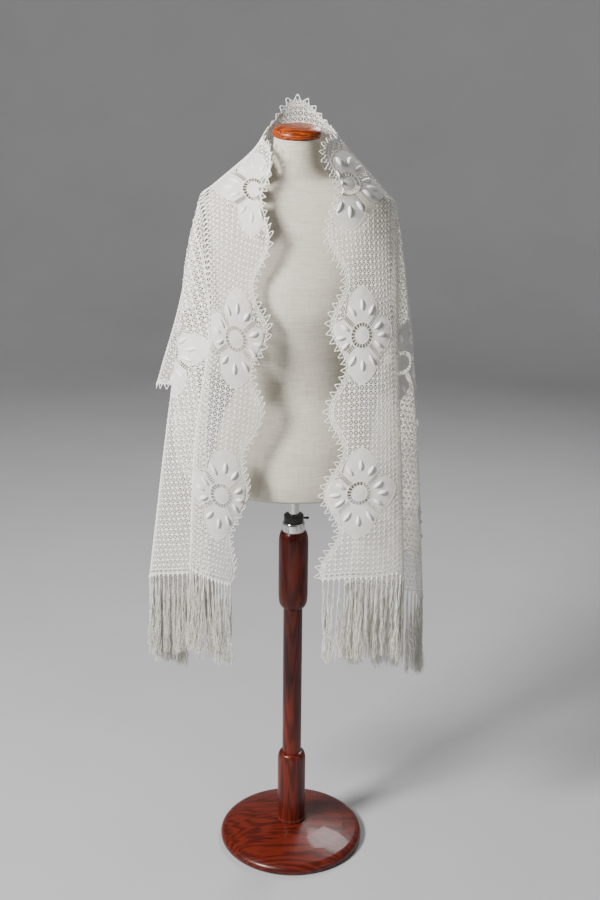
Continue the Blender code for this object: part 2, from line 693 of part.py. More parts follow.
def make_shawl():
    cloth = make_cloth_mesh()
    normals = point_normals(cloth)
    for name in cloth.triangles:
        wall_object(name, cloth, normals, "lace")
    make_edging("neck_edging", whole_rim(cloth, "neck"), cloth, normals)
    make_edging("outer_edging", whole_rim(cloth, "outer"), cloth, normals)
    for end in ("left", "right"):
        hem = cloth.rims["shawl_%s_front" % end]["hem"]
        rim = cloth.points[[row[0] for row in hem]]
        inside = cloth.points[[row[1] for row in hem]]
        rim_normals = normals[[row[0] for row in hem]]
        make_fringe("fringe_" + end, rim, rim_normals, square_to_rim(rim, inside))


def main():
    clear_scene()
    make_stand()
    make_torso()
    make_neck_cap()
    make_shawl()


main()
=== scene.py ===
# Looks of the ivory lace shawl on its dress form: net, medallions, looped edging and fringe
import math

import bmesh
import bpy
import numpy as np
from mathutils import Matrix, Vector


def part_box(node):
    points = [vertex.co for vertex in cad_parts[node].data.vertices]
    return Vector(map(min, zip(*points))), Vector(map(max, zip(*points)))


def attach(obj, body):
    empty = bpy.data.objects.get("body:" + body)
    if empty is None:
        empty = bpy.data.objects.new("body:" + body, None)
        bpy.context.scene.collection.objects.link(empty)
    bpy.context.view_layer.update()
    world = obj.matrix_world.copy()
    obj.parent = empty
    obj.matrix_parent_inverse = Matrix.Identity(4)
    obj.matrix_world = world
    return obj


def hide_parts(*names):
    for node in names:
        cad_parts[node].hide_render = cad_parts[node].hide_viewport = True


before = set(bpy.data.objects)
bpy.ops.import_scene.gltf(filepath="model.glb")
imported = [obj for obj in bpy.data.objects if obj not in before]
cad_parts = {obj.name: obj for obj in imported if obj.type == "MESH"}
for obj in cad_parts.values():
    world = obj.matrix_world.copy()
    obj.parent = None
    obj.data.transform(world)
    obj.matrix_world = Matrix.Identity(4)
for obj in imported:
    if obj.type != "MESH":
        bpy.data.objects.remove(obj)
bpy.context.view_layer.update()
rng = np.random.default_rng(11)

# Shawl cut, metres, as in the part's source
SHAWL_LENGTH = 2.11
SHAWL_WIDTH = 0.64
SHOULDER_ALONG = 0.795
NECK_ALONG = 0.97
SHOULDER_ACROSS = 0.17
FOLD_SOFTNESS = 0.05
STATIONS = (0.0, 0.12, 0.27, 0.52, 0.82)
LONGEST_LINE = 1.0
SCALLOP_PERIOD = 0.173
SCALLOP_FIRST = 0.017
SCALLOP_DEPTH = 0.034
LOOP_HEIGHT = 0.016

# Hanging lines of both halves, one row each, as in the part's source. Columns: place, ridge x and z,
# x and y at the chest, bust, hip and hem, and the share of length that the folds take up
LEFT_LINES = (
    (-0.170, -0.063, 1.622, -0.043, -0.096, -0.040, -0.124, -0.046, -0.140, -0.094, -0.142, 0.00),
    (-0.125, -0.056, 1.582, -0.056, -0.074, -0.080, -0.126, -0.084, -0.145, -0.128, -0.150, 0.00),
    (-0.060, -0.124, 1.532, -0.122, -0.090, -0.130, -0.130, -0.150, -0.152, -0.176, -0.154, 0.00),
    (0.000, -0.194, 1.4856, -0.186, -0.084, -0.178, -0.126, -0.222, -0.140, -0.248, -0.142, 0.00),
    (0.100, -0.194, 1.4856, -0.182, -0.074, -0.160, -0.102, -0.164, -0.108, -0.142, -0.106, 0.00),
    (0.330, -0.194, 1.4856, -0.222, -0.030, -0.242, -0.036, -0.280, -0.052, -0.324, -0.058, 0.03),
    (0.600, -0.194, 1.4856, -0.208, 0.002, -0.208, 0.004, -0.196, 0.012, -0.190, 0.020, 0.07),
    (0.900, -0.194, 1.4856, -0.218, 0.028, -0.238, 0.036, -0.266, 0.052, -0.280, 0.062, 0.06),
    (1.150, -0.194, 1.4856, -0.206, 0.052, -0.216, 0.070, -0.238, 0.084, -0.245, 0.090, 0.04),
    (1.300, -0.194, 1.4856, -0.217, 0.062, -0.250, 0.084, -0.318, 0.100, -0.350, 0.106, 0.02),
    (1.420, -0.194, 1.4856, -0.215, 0.074, -0.246, 0.102, -0.312, 0.136, -0.342, 0.148, 0.02),
    (1.571, -0.194, 1.4856, -0.190, 0.082, -0.190, 0.108, -0.200, 0.128, -0.205, 0.130, 0.00),
)
RIGHT_LINES = (
    (-0.170, 0.056, 1.626, 0.038, -0.092, 0.050, -0.121, 0.056, -0.138, 0.046, -0.141, 0.00),
    (-0.125, 0.078, 1.590, 0.080, -0.090, 0.095, -0.125, 0.100, -0.146, 0.090, -0.149, 0.00),
    (-0.060, 0.140, 1.535, 0.140, -0.089, 0.150, -0.128, 0.158, -0.150, 0.155, -0.153, 0.00),
    (0.000, 0.200, 1.4712, 0.196, -0.082, 0.196, -0.118, 0.206, -0.136, 0.214, -0.140, 0.00),
    (0.045, 0.200, 1.4712, 0.200, -0.078, 0.210, -0.108, 0.233, -0.124, 0.262, -0.126, 0.00),
    (0.230, 0.200, 1.4712, 0.190, -0.066, 0.176, -0.090, 0.138, -0.106, 0.088, -0.100, 0.01),
    (0.470, 0.200, 1.4712, 0.220, -0.030, 0.238, -0.032, 0.270, -0.030, 0.296, -0.022, 0.05),
    (0.720, 0.200, 1.4712, 0.206, 0.012, 0.206, 0.022, 0.196, 0.030, 0.190, 0.034, 0.07),
    (0.970, 0.200, 1.4712, 0.222, 0.040, 0.248, 0.060, 0.275, 0.080, 0.290, 0.090, 0.06),
    (1.180, 0.200, 1.4712, 0.203, 0.058, 0.206, 0.080, 0.204, 0.100, 0.206, 0.106, 0.04),
    (1.340, 0.200, 1.4712, 0.203, 0.068, 0.216, 0.096, 0.238, 0.122, 0.252, 0.130, 0.02),
    (1.450, 0.200, 1.4712, 0.200, 0.078, 0.212, 0.108, 0.234, 0.146, 0.248, 0.158, 0.02),
    (1.571, 0.200, 1.4712, 0.190, 0.085, 0.182, 0.110, 0.176, 0.130, 0.174, 0.132, 0.00),
)
# The middle of the back: distance across the cloth, y and z
BACK_LINE = (
    (0.00, 0.058, 1.684),
    (0.08, 0.056, 1.604),
    (0.14, 0.070, 1.546),
    (0.19, 0.090, 1.500),
    (0.30, 0.112, 1.392),
    (0.64, 0.130, 1.053),
)

# How finely the hanging lines are worked out
PLACE_STEPS = 201
DISTANCE_STEPS = 193
STEEPEST_SLOPE = 0.98
BACK_BLEND = 0.12

# Net: star stitches on a square grid, joined by straight and crossed threads
NET_ALONG = 0.0115
NET_ACROSS = 0.0110
THREAD_WIDTH = 0.0016
CROSS_WIDTH = 0.0012
STAR_RADIUS = 0.0034
STAR_RISE = 0.0015
DOT_RADIUS = 0.0016
THREAD_RISE = 0.0007
KNOT_JITTER = 0.00035
STAR_WAIST = 0.72
DOT_RISE = 0.0005

# Medallions: places from the nearer end and in from each long edge, metres
MEDALLION_PLACES = ((0.185, 0.086), (0.510, 0.084), (0.810, 0.068))
CENTRE_MEDALLION = (0.485, 0.295)
PETAL_ALONG = 0.098
PETAL_ACROSS = 0.086
PETAL_NOTCH = 0.056
PETAL_ROUNDNESS = 1.2
DISC_RADIUS = 0.0165
RING_RADIUS = 0.0260
RING_BARS = 20
LADDER_ANGLE = math.radians(45.0)
LADDER_HALF = 0.0052
LADDER_REACH = 0.066
LADDER_PITCH = 0.0042
LEAF_LENGTH = 0.024
LEAF_WIDTH = 0.0088
LEAF_RISE = 0.0044
PETAL_CROWN = 0.0010
BAR_WIDTH = 0.0014
BAR_RISE = 0.0007
BAR_OVERLAP = 0.0008
PETAL_RISE = 0.0009
DISC_CROWN = 0.0012
QUARTERS = (0.0, 0.5 * math.pi, math.pi, 1.5 * math.pi)
LEAF_REACHES = (0.050, 0.060, 0.050, 0.060)
LEAF_BASE = 0.0018
LEAF_TURN = math.radians(34.0)
LEAF_SPREAD = math.radians(25.0)
OUTER_LEAF_DROP = 0.006

# Edge braid and hem band: each cord's distance inside the edge, width and rise
BRAID_WIDTH = 0.0075
HEM_BAND = 0.011
RIM_CORDS = ((0.0002, 0.0019, 0.0007), (0.0030, 0.0014, 0.0005), (BRAID_WIDTH, 0.0016, 0.0006))
HEM_CORDS = ((0.0006, 0.0024, 0.0006), (0.0042, 0.0014, 0.0004), (HEM_BAND, 0.0018, 0.0005))
BRAID_PITCH = 0.006
HEM_STEPS = 112

# Loops: share of a pitch and of the reach at each point, and picots at their tips and feet
LOOP_TURNS = np.array((0.0, 0.12, 0.24, 0.34, 0.42, 0.50, 0.58, 0.66, 0.76, 0.88))
LOOP_RISES = np.array((0.0, 0.12, 0.42, 0.76, 0.95, 1.0, 0.95, 0.76, 0.42, 0.12))
LOOP_PITCH = 0.0175
LOOP_REACH = 0.0120
LOOP_CORD = 0.0010
INNER_LOOP_REACH = 0.0055
INNER_LOOP_CORD = 0.0008
PICOTS = ((0.5, LOOP_REACH, 0.0019), (0.0, 0.0006, 0.0021))
PICOT_RISE = 0.0016

# Fringe
TASSELS = 56
TASSEL_THREADS = 17
TASSEL_LENGTH = 0.187
TASSEL_INSET = 0.003
TASSEL_SPREAD = (0.0013, 0.0066)
TASSEL_LEAN = 0.006
THREAD_SWING = (0.0012, 0.0055)
FRINGE_THREAD = (0.00060, 0.00018)
KNOT_DROP = 0.0035
KNOT_HALF = 0.0040
KNOT_RADIUS = (0.0004, 0.0022)

# Studio: a round floor that curves up into a wall
STUDIO_PAINT = (0.42, 0.42, 0.43)
STUDIO_RADIUS = 7.0
STUDIO_BEND = 2.5
STUDIO_HEIGHT = 6.0
SKY_COLOUR = (0.80, 0.82, 0.86, 1.0)
SKY_STRENGTH = 0.15

# Lights: name, place, height of the target, size, power and colour
LIGHTS = (
    ("key", (-2.6, -2.1, 3.1), 1.15, 1.1, 400.0, (1.0, 0.985, 0.96)),
    ("fill", (2.6, -2.0, 1.7), 1.1, 1.8, 9.0, (0.95, 0.97, 1.0)),
    ("rim", (1.0, 2.4, 2.9), 1.2, 1.2, 60.0, (1.0, 1.0, 1.0)),
)

# Camera fitted to the photograph
CAMERA_PLACE = (0.012, -2.5, 1.74)
CAMERA_LENS = 49.04
CAMERA_SENSOR = 36.0
CAMERA_DOWN = 17.5
CAMERA_ROLL = 0.6

# Turned profiles: radius and height above the foot of the piece
AROUND = 96
BASE_PROFILE = ((0.150, 0.0), (0.160, 0.0), (0.165, 0.005), (0.1655, 0.012), (0.162, 0.018),
                (0.156, 0.0215), (0.152, 0.0235), (0.120, 0.0320), (0.080, 0.0395), (0.050, 0.0432),
                (0.036, 0.0450))
SOCKET_PROFILE = ((0.0335, 0.0), (0.0345, 0.003), (0.0321, 0.008), (0.0321, 0.160), (0.0312, 0.168),
                  (0.0285, 0.175), (0.0240, 0.178))
GRIP_PROFILE = ((0.0218, 0.0), (0.0270, 0.003), (0.0312, 0.012), (0.0327, 0.028), (0.0327, 0.156),
                (0.0318, 0.168), (0.0292, 0.177), (0.0262, 0.182))
CAP_PROFILE = ((0.0455, 0.0004), (0.0490, 0.002), (0.0493, 0.008), (0.0474, 0.0135),
               (0.0410, 0.0180), (0.0310, 0.0205), (0.0160, 0.0214), (0.0010, 0.0216))
POST_RADIUS = 0.0215
TUBE_RADIUS = 0.0118

# Dress form sections: z, half width, front depth, back depth, tilt in degrees
TORSO_SECTIONS = (
    (0.867, 0.154, 0.104, 0.100, 0.0),
    (0.872, 0.160, 0.110, 0.106, 0.0),
    (0.920, 0.167, 0.116, 0.114, 0.0),
    (0.970, 0.166, 0.114, 0.112, 0.0),
    (1.030, 0.150, 0.103, 0.098, 0.0),
    (1.100, 0.124, 0.090, 0.082, 0.0),
    (1.150, 0.128, 0.094, 0.082, 0.0),
    (1.210, 0.144, 0.108, 0.088, 0.0),
    (1.270, 0.157, 0.122, 0.094, 0.0),
    (1.310, 0.161, 0.118, 0.096, 0.0),
    (1.360, 0.166, 0.102, 0.096, 0.0),
    (1.410, 0.174, 0.086, 0.090, 0.0),
    (1.445, 0.184, 0.074, 0.078, 0.0),
    (1.470, 0.186, 0.066, 0.070, 0.0),
    (1.4867, 0.178, 0.060, 0.064, 0.0),
    (1.500, 0.150, 0.056, 0.060, 0.0),
    (1.512, 0.104, 0.053, 0.056, 0.0),
    (1.525, 0.068, 0.050, 0.052, 3.0),
    (1.550, 0.051, 0.048, 0.048, 6.0),
    (1.603, 0.046, 0.046, 0.046, 9.0),
)


# Drape of the cloth

def smooth_run(values, distances):
    """Cubic curve through the station values, read at the given distances."""
    knots = np.array(STATIONS)
    spans = np.diff(knots)
    chords = np.diff(values) / spans
    slopes = np.empty(len(knots))
    slopes[1:-1] = (chords[:-1] * spans[1:] + chords[1:] * spans[:-1]) / (spans[1:] + spans[:-1])
    slopes[0] = 2.0 * chords[0] - slopes[1]
    slopes[-1] = chords[-1]
    index = np.clip(np.searchsorted(knots, distances, side="right") - 1, 0, len(spans) - 1)
    span = spans[index]
    part = (distances - knots[index]) / span
    inside = (values[index] * (1 + 2 * part) * (1 - part) ** 2
              + slopes[index] * span * part * (1 - part) ** 2
              + values[index + 1] * part ** 2 * (3 - 2 * part)
              + slopes[index + 1] * span * part ** 2 * (part - 1))
    beyond = values[-1] + slopes[-1] * (distances - knots[-1])
    return np.where(distances >= knots[-1], beyond, inside)


class HangingSide:
    """One half of the shawl: lines that fall from the shoulder, on a fine grid."""

    def __init__(self, table):
        rows = np.array(table)
        self.places = np.linspace(rows[0, 0], rows[-1, 0], PLACE_STEPS)
        self.distances = np.linspace(0.0, LONGEST_LINE, DISTANCE_STEPS)
        step = self.distances[1]
        self.grid = np.empty((PLACE_STEPS, DISTANCE_STEPS, 3))
        for index, place in enumerate(self.places):
            reach = min(FOLD_SOFTNESS, place - rows[0, 0], rows[-1, 0] - place)
            samples = place + reach * np.linspace(-1.0, 1.0, 9)
            row = [float(np.mean(np.interp(samples, rows[:, 0], rows[:, column])))
                   for column in range(1, rows.shape[1])]
            x = smooth_run(np.array([row[0], row[2], row[4], row[6], row[8]]), self.distances)
            y = smooth_run(np.array([0.0, row[3], row[5], row[7], row[9]]), self.distances)
            slope = np.clip(np.hypot(np.gradient(x, step), np.gradient(y, step)), 0.0, STEEPEST_SLOPE)
            fall = np.sqrt(1.0 - slope ** 2) * (1.0 - row[10])
            drop = np.concatenate(([0.0], np.cumsum(0.5 * (fall[1:] + fall[:-1]) * step)))
            self.grid[index] = np.stack((x, y, row[1] - drop), axis=1)

    def read(self, place, distance):
        i = np.clip((place - self.places[0]) / (self.places[1] - self.places[0]), 0, PLACE_STEPS - 1.001)
        j = np.clip(distance / self.distances[1], 0, DISTANCE_STEPS - 1.001)
        a, b = i.astype(int), j.astype(int)
        p, q = (i - a)[:, None], (j - b)[:, None]
        low = self.grid[a, b] * (1 - p) + self.grid[a + 1, b] * p
        high = self.grid[a, b + 1] * (1 - p) + self.grid[a + 1, b + 1] * p
        return low * (1 - q) + high * q

    def points(self, along, across):
        """Places in space of points of the flat cloth, along from this half's own end."""
        ridge = ridge_along(across)
        beside = across < SHOULDER_ACROSS
        aside = np.maximum(across - SHOULDER_ACROSS, 0.0)
        down = SHOULDER_ALONG - along
        place = np.where(beside, across - SHOULDER_ACROSS, np.arctan2(aside, np.maximum(down, 0.0)))
        distance = np.where(beside, np.maximum(ridge - along, 0.0), np.hypot(aside, np.maximum(down, 0.0)))
        front = self.read(place, distance)
        part = np.clip((along - ridge) / (0.5 * SHAWL_LENGTH - ridge), 0.0, 1.0)
        return np.where((along > ridge)[:, None], self.behind(part, across), front)

    def behind(self, part, across):
        """Cloth from the shoulder ridge to the middle of the back."""
        aside = across - SHOULDER_ACROSS
        start = np.where((aside < 0.0)[:, None],
                         self.read(aside, np.zeros_like(across)),
                         self.read(np.full_like(across, 0.5 * math.pi), np.maximum(aside, 0)))
        table = np.array(BACK_LINE)
        end_y = np.interp(across, table[:, 0], table[:, 1])
        end_z = np.interp(across, table[:, 0], table[:, 2])
        below = np.clip(aside / BACK_BLEND, 0.0, 1.0)
        turn = 0.5 * math.pi * part
        x = start[:, 0] * ((1.0 - below) * np.cos(turn) + below * (1.0 - part))
        y = start[:, 1] + (end_y - start[:, 1]) * np.sin(turn)
        level = part * part * (3.0 - 2.0 * part)
        z = start[:, 2] + (end_z - start[:, 2]) * (below * level + (1.0 - below) * np.sin(turn))
        return np.stack((x, y, z), axis=1)


def ridge_along(across):
    slant = NECK_ALONG + (SHOULDER_ALONG - NECK_ALONG) * across / SHOULDER_ACROSS
    return np.where(across >= SHOULDER_ACROSS, SHOULDER_ALONG, slant)


def rim_depth(along):
    """How far the scalloped rim lies inside the straight long edge of the cut."""
    turn = 2.0 * math.pi * (along - SCALLOP_FIRST) / SCALLOP_PERIOD
    return LOOP_HEIGHT + SCALLOP_DEPTH * 0.5 * (1.0 - np.cos(turn))


LEFT_SIDE = HangingSide(LEFT_LINES)
RIGHT_SIDE = HangingSide(RIGHT_LINES)


def cloth_points(flat):
    """Space points of flat ones; the first column runs from the left end to the right end."""
    along, across = flat[:, 0], flat[:, 1]
    left = along <= 0.5 * SHAWL_LENGTH
    result = np.empty((len(flat), 3))
    result[left] = LEFT_SIDE.points(along[left], across[left])
    result[~left] = RIGHT_SIDE.points(SHAWL_LENGTH - along[~left], across[~left])
    return result


def cloth_normals(flat):
    """Unit normals of the draped cloth, away from the dress form."""
    reach = 0.002
    lo = np.array((0.0, 0.0))
    hi = np.array((SHAWL_LENGTH, SHAWL_WIDTH))
    u = np.array((reach, 0.0))
    v = np.array((0.0, reach))
    du = cloth_points(np.clip(flat + u, lo, hi)) - cloth_points(np.clip(flat - u, lo, hi))
    dv = cloth_points(np.clip(flat + v, lo, hi)) - cloth_points(np.clip(flat - v, lo, hi))
    normal = np.cross(du, dv)
    return normal / np.maximum(np.linalg.norm(normal, axis=1, keepdims=True), 1e-9)


def stretch_of(flat):
    """0, 1 or 2: left front, back, right front."""
    ridge = ridge_along(flat[:, 1])
    return np.where(flat[:, 0] <= ridge, 0, np.where(flat[:, 0] >= SHAWL_LENGTH - ridge, 2, 1))


# Shapes drawn on the flat cloth

class FlatShapes:
    """Faces drawn on the flat cloth with a rise off it, later draped in one go."""

    def __init__(self):
        self.flat = []
        self.rise = []
        self.faces = []
        self.group = []
        self.count = 0

    def add(self, flat, rise, faces, group):
        """flat (n, k, 2), rise (k) or (n, k), faces as tuples of 0..k-1, group (n)."""
        n, k = flat.shape[:2]
        rise = np.broadcast_to(np.asarray(rise, float), (n, k))
        base = self.count + np.arange(n)[:, None] * k
        for face in faces:
            indices = base + np.array(face)[None, :]
            if len(face) == 3:
                indices = np.concatenate((indices, indices[:, 2:3]), axis=1)
            self.faces.append(indices)
            self.group.append(np.asarray(group))
        self.flat.append(flat.reshape(-1, 2))
        self.rise.append(rise.reshape(-1))
        self.count += n * k

    def threads(self, start, end, width, base=0.0):
        """Threads as two sloped faces that meet in a ridge."""
        if not len(start):
            return
        run = end - start
        run = run / np.maximum(np.linalg.norm(run, axis=1, keepdims=True), 1e-9)
        side = np.stack((-run[:, 1], run[:, 0]), axis=1) * (0.5 * np.asarray(width))
        flat = np.stack((start - side, start, start + side, end - side, end, end + side), axis=1)
        high = base + THREAD_RISE
        group = stretch_of(0.5 * (start + end))
        self.add(flat, (base, high, base, base, high, base), ((0, 3, 4, 1), (1, 4, 5, 2)), group)

    def domes(self, centre, radii, rise, base=0.0, spin=0.0):
        """Low pointed domes, one radius for each corner."""
        count = len(radii)
        angles = spin + 2.0 * math.pi * np.arange(count) / count
        ring = np.stack((np.cos(angles), np.sin(angles)), axis=1) * np.array(radii)[:, None]
        flat = np.concatenate((centre[:, None, :], centre[:, None, :] + ring[None]), axis=1)
        faces = [(0, 1 + i, 1 + (i + 1) % count) for i in range(count)]
        self.add(flat, [base + rise] + [base] * count, faces, stretch_of(centre))

    def grid(self, flat, rise):
        """A patch of quads through a grid of flat points (rows, columns, 2)."""
        rows, columns = flat.shape[:2]
        index = self.count + np.arange(rows * columns).reshape(rows, columns)
        quads = np.stack((index[:-1, :-1], index[1:, :-1], index[1:, 1:], index[:-1, 1:]), axis=-1)
        middle = 0.25 * (flat[:-1, :-1] + flat[1:, :-1] + flat[1:, 1:] + flat[:-1, 1:])
        self.faces.append(quads.reshape(-1, 4))
        self.group.append(stretch_of(middle.reshape(-1, 2)))
        self.flat.append(flat.reshape(-1, 2))
        self.rise.append(np.broadcast_to(rise, (rows, columns)).reshape(-1))
        self.count += rows * columns

    def piece(self, name, material, stretch=None):
        """The draped mesh of one stretch, or of all of them."""
        flat = np.concatenate(self.flat)
        rise = np.concatenate(self.rise)
        faces = np.concatenate(self.faces)
        if stretch is not None:
            faces = faces[np.concatenate(self.group) == stretch]
        used, faces = np.unique(faces, return_inverse=True)
        faces = faces.reshape(-1, 4)
        flat = flat[used]
        points = cloth_points(flat) + cloth_normals(flat) * rise[used][:, None]
        return mesh_piece(name, points, faces, material, flat)


def ring_points(rows, around):
    """Rings of points round the upright axis, one for each radius and height."""
    angles = 2.0 * math.pi * np.arange(around) / around
    rings = np.stack((rows[:, :1] * np.cos(angles), rows[:, :1] * np.sin(angles),
                      np.repeat(rows[:, 1:], around, axis=1)), axis=-1)
    return rings.reshape(-1, 3)


def ring_quads(rings, around):
    """Quads between rings of points, facing out where the rings run upward."""
    index = np.arange(rings * around).reshape(rings, around)
    after = np.roll(index, -1, axis=1)
    return np.stack((index[:-1], after[:-1], after[1:], index[1:]), axis=-1).reshape(-1, 4)


def mesh_piece(name, points, faces, material, uv=None):
    """Mesh object from quads, where a repeated last corner makes a triangle."""
    mesh = bpy.data.meshes.new(name)
    triangles = faces[:, 2] == faces[:, 3]
    sizes = np.where(triangles, 3, 4)
    keep = np.ones(faces.shape, bool)
    keep[triangles, 3] = False
    loops = faces[keep]
    mesh.vertices.add(len(points))
    mesh.vertices.foreach_set("co", np.asarray(points, np.float32).ravel())
    mesh.loops.add(len(loops))
    mesh.loops.foreach_set("vertex_index", loops.astype(np.int32))
    mesh.polygons.add(len(faces))
    mesh.polygons.foreach_set("loop_start", np.concatenate(([0], np.cumsum(sizes)[:-1])).astype(np.int32))
    mesh.polygons.foreach_set("loop_total", sizes.astype(np.int32))
    mesh.polygons.foreach_set("use_smooth", np.ones(len(faces), bool))
    if uv is not None:
        layer = mesh.uv_layers.new(name="cloth")
        layer.data.foreach_set("uv", np.asarray(uv, np.float32)[loops].ravel())
    mesh.update(calc_edges=True)
    mesh.validate()
    mesh.materials.append(material)
    item = bpy.data.objects.new(name, mesh)
    bpy.context.scene.collection.objects.link(item)
    return item


# Materials

def new_material(name, colour, roughness):
    material = bpy.data.materials.new(name)
    material.use_nodes = True
    shader = material.node_tree.nodes["Principled BSDF"]
    shader.inputs["Base Color"].default_value = (*colour, 1.0)
    shader.inputs["Roughness"].default_value = roughness
    return material, material.node_tree, shader


def node(tree, kind, **values):
    """Shader node with its input sockets set by name, and its properties by attribute."""
    made = tree.nodes.new(kind)
    for key, value in values.items():
        socket = key.replace("_", " ").title().replace("Rgb", "RGB")
        if socket in made.inputs and not hasattr(made, key):
            made.inputs[socket].default_value = value
        else:
            setattr(made, key, value)
    return made


def link(tree, source, target):
    tree.links.new(source, target)


def coordinates(tree, scale, uv=False):
    """Mapped object coordinates, or the flat cloth's own in metres."""
    if uv:
        source = tree.nodes.new("ShaderNodeUVMap")
        source.uv_map = "cloth"
        output = source.outputs["UV"]
    else:
        source = tree.nodes.new("ShaderNodeTexCoord")
        output = source.outputs["Object"]
    mapping = tree.nodes.new("ShaderNodeMapping")
    mapping.inputs["Scale"].default_value = scale
    link(tree, output, mapping.inputs["Vector"])
    return mapping.outputs["Vector"]


def colour_ramp(tree, shader, value, colours, places=(0.0, 1.0)):
    """Base colour that runs between two colours as a value does."""
    ramp = tree.nodes.new("ShaderNodeValToRGB")
    for element, place, colour in zip(ramp.color_ramp.elements, places, colours):
        element.position = place
        element.color = (*colour, 1.0)
    link(tree, value, ramp.inputs["Fac"])
    link(tree, ramp.outputs["Color"], shader.inputs["Base Color"])


def colour_noise(tree, shader, vector, scale, colours):
    """Base colour that drifts between the given colours."""
    noise = node(tree, "ShaderNodeTexNoise", scale=scale, detail=4.0)
    link(tree, vector, noise.inputs["Vector"])
    colour_ramp(tree, shader, noise.outputs["Fac"], colours, (0.30, 0.70))


def add_bump(tree, shader, height, strength, distance):
    bump = node(tree, "ShaderNodeBump", strength=strength, distance=distance)
    link(tree, height, bump.inputs["Height"])
    link(tree, bump.outputs["Normal"], shader.inputs["Normal"])


def waves(tree, vector, scale, direction, distortion=0.0):
    wave = tree.nodes.new("ShaderNodeTexWave")
    wave.bands_direction = direction
    wave.inputs["Scale"].default_value = scale
    wave.inputs["Distortion"].default_value = distortion
    wave.inputs["Detail Scale"].default_value = 1.0
    link(tree, vector, wave.inputs["Vector"])
    return wave.outputs["Fac"]


def math_node(tree, operation, a, b):
    made = tree.nodes.new("ShaderNodeMath")
    made.operation = operation
    for socket, value in zip(made.inputs, (a, b)):
        if isinstance(value, (int, float)):
            socket.default_value = value
        else:
            link(tree, value, socket)
    return made.outputs[0]


def cotton_thread(name, light, dark, roughness=0.78):
    """Twisted cotton: slight changes of colour and a fine ply."""
    material, tree, shader = new_material(name, light, roughness)
    vector = coordinates(tree, (1.0, 1.0, 1.0))
    colour_noise(tree, shader, vector, 55.0, (dark, light))
    fine = node(tree, "ShaderNodeTexNoise", scale=1400.0, detail=2.0)
    link(tree, vector, fine.inputs["Vector"])
    add_bump(tree, shader, fine.outputs["Fac"], 0.5, 0.0004)
    shader.inputs["Sheen Weight"].default_value = 0.25
    shader.inputs["Sheen Roughness"].default_value = 0.5
    shader.inputs["Specular IOR Level"].default_value = 0.35
    return material


def cloth_stitch(name, light, dark):
    """Dense woven petals: crossing threads in the cloth's own directions."""
    material, tree, shader = new_material(name, light, 0.7)
    vector = coordinates(tree, (1.0, 1.0, 1.0), uv=True)
    warp = waves(tree, vector, 180.0, "X", 0.6)
    weft = waves(tree, vector, 180.0, "Y", 0.6)
    weave = math_node(tree, "MULTIPLY", warp, weft)
    colour_noise(tree, shader, vector, 60.0, (dark, light))
    add_bump(tree, shader, weave, 0.55, 0.0006)
    shader.inputs["Sheen Weight"].default_value = 0.2
    return material


def satin(name, colour):
    """Raised leaves of close parallel threads with a silky shine."""
    material, tree, shader = new_material(name, colour, 0.42)
    vector = coordinates(tree, (1.0, 1.0, 1.0), uv=True)
    threads = waves(tree, vector, 260.0, "X", 1.5)
    shade = tuple(0.9 * value for value in colour)
    colour_ramp(tree, shader, threads, (shade, colour))
    add_bump(tree, shader, threads, 0.25, 0.0004)
    shader.inputs["Sheen Weight"].default_value = 0.3
    shader.inputs["Coat Weight"].default_value = 0.15
    return material


def linen_cover(name):
    """Plain-woven linen with uneven slubs."""
    material, tree, shader = new_material(name, (0.50, 0.46, 0.39), 0.88)
    along = coordinates(tree, (30.0, 30.0, 420.0))
    streaks = node(tree, "ShaderNodeTexNoise", scale=1.0, detail=5.0)
    link(tree, along, streaks.inputs["Vector"])
    up = coordinates(tree, (420.0, 420.0, 22.0))
    slubs = node(tree, "ShaderNodeTexNoise", scale=1.0, detail=5.0)
    link(tree, up, slubs.inputs["Vector"])
    both = math_node(tree, "ADD", math_node(tree, "MULTIPLY", streaks.outputs["Fac"], 0.6),
                     math_node(tree, "MULTIPLY", slubs.outputs["Fac"], 0.4))
    colour_ramp(tree, shader, both, (LINEN_DARK, LINEN_LIGHT), (0.32, 0.68))
    add_bump(tree, shader, both, 0.6, 0.0010)
    shader.inputs["Sheen Weight"].default_value = 0.2
    return material


def polished_wood(name, dark, light, scale, coat):
    """Varnished wood: stretched, wandering grain under a clear coat."""
    material, tree, shader = new_material(name, light, 0.38)
    vector = coordinates(tree, scale)
    wander = node(tree, "ShaderNodeTexNoise", scale=2.2, detail=3.0)
    link(tree, vector, wander.inputs["Vector"])
    mixed = tree.nodes.new("ShaderNodeVectorMath")
    mixed.operation = "MULTIPLY_ADD"
    link(tree, wander.outputs["Color"], mixed.inputs[0])
    mixed.inputs[1].default_value = (0.9, 0.9, 0.9)
    link(tree, vector, mixed.inputs[2])
    rings = tree.nodes.new("ShaderNodeTexWave")
    rings.wave_type = "RINGS"
    rings.rings_direction = "X"
    rings.inputs["Scale"].default_value = 1.6
    rings.inputs["Distortion"].default_value = 5.0
    rings.inputs["Detail"].default_value = 4.0
    link(tree, mixed.outputs[0], rings.inputs["Vector"])
    colour_ramp(tree, shader, rings.outputs["Fac"], (dark, light), (0.15, 0.85))
    rough = node(tree, "ShaderNodeMapRange", from_min=0.0, from_max=1.0, to_min=0.30, to_max=0.42)
    link(tree, wander.outputs["Fac"], rough.inputs["Value"])
    link(tree, rough.outputs["Result"], shader.inputs["Roughness"])
    shader.inputs["Specular IOR Level"].default_value = 0.25
    shader.inputs["Coat Weight"].default_value = coat
    shader.inputs["Coat Roughness"].default_value = 0.08
    return material


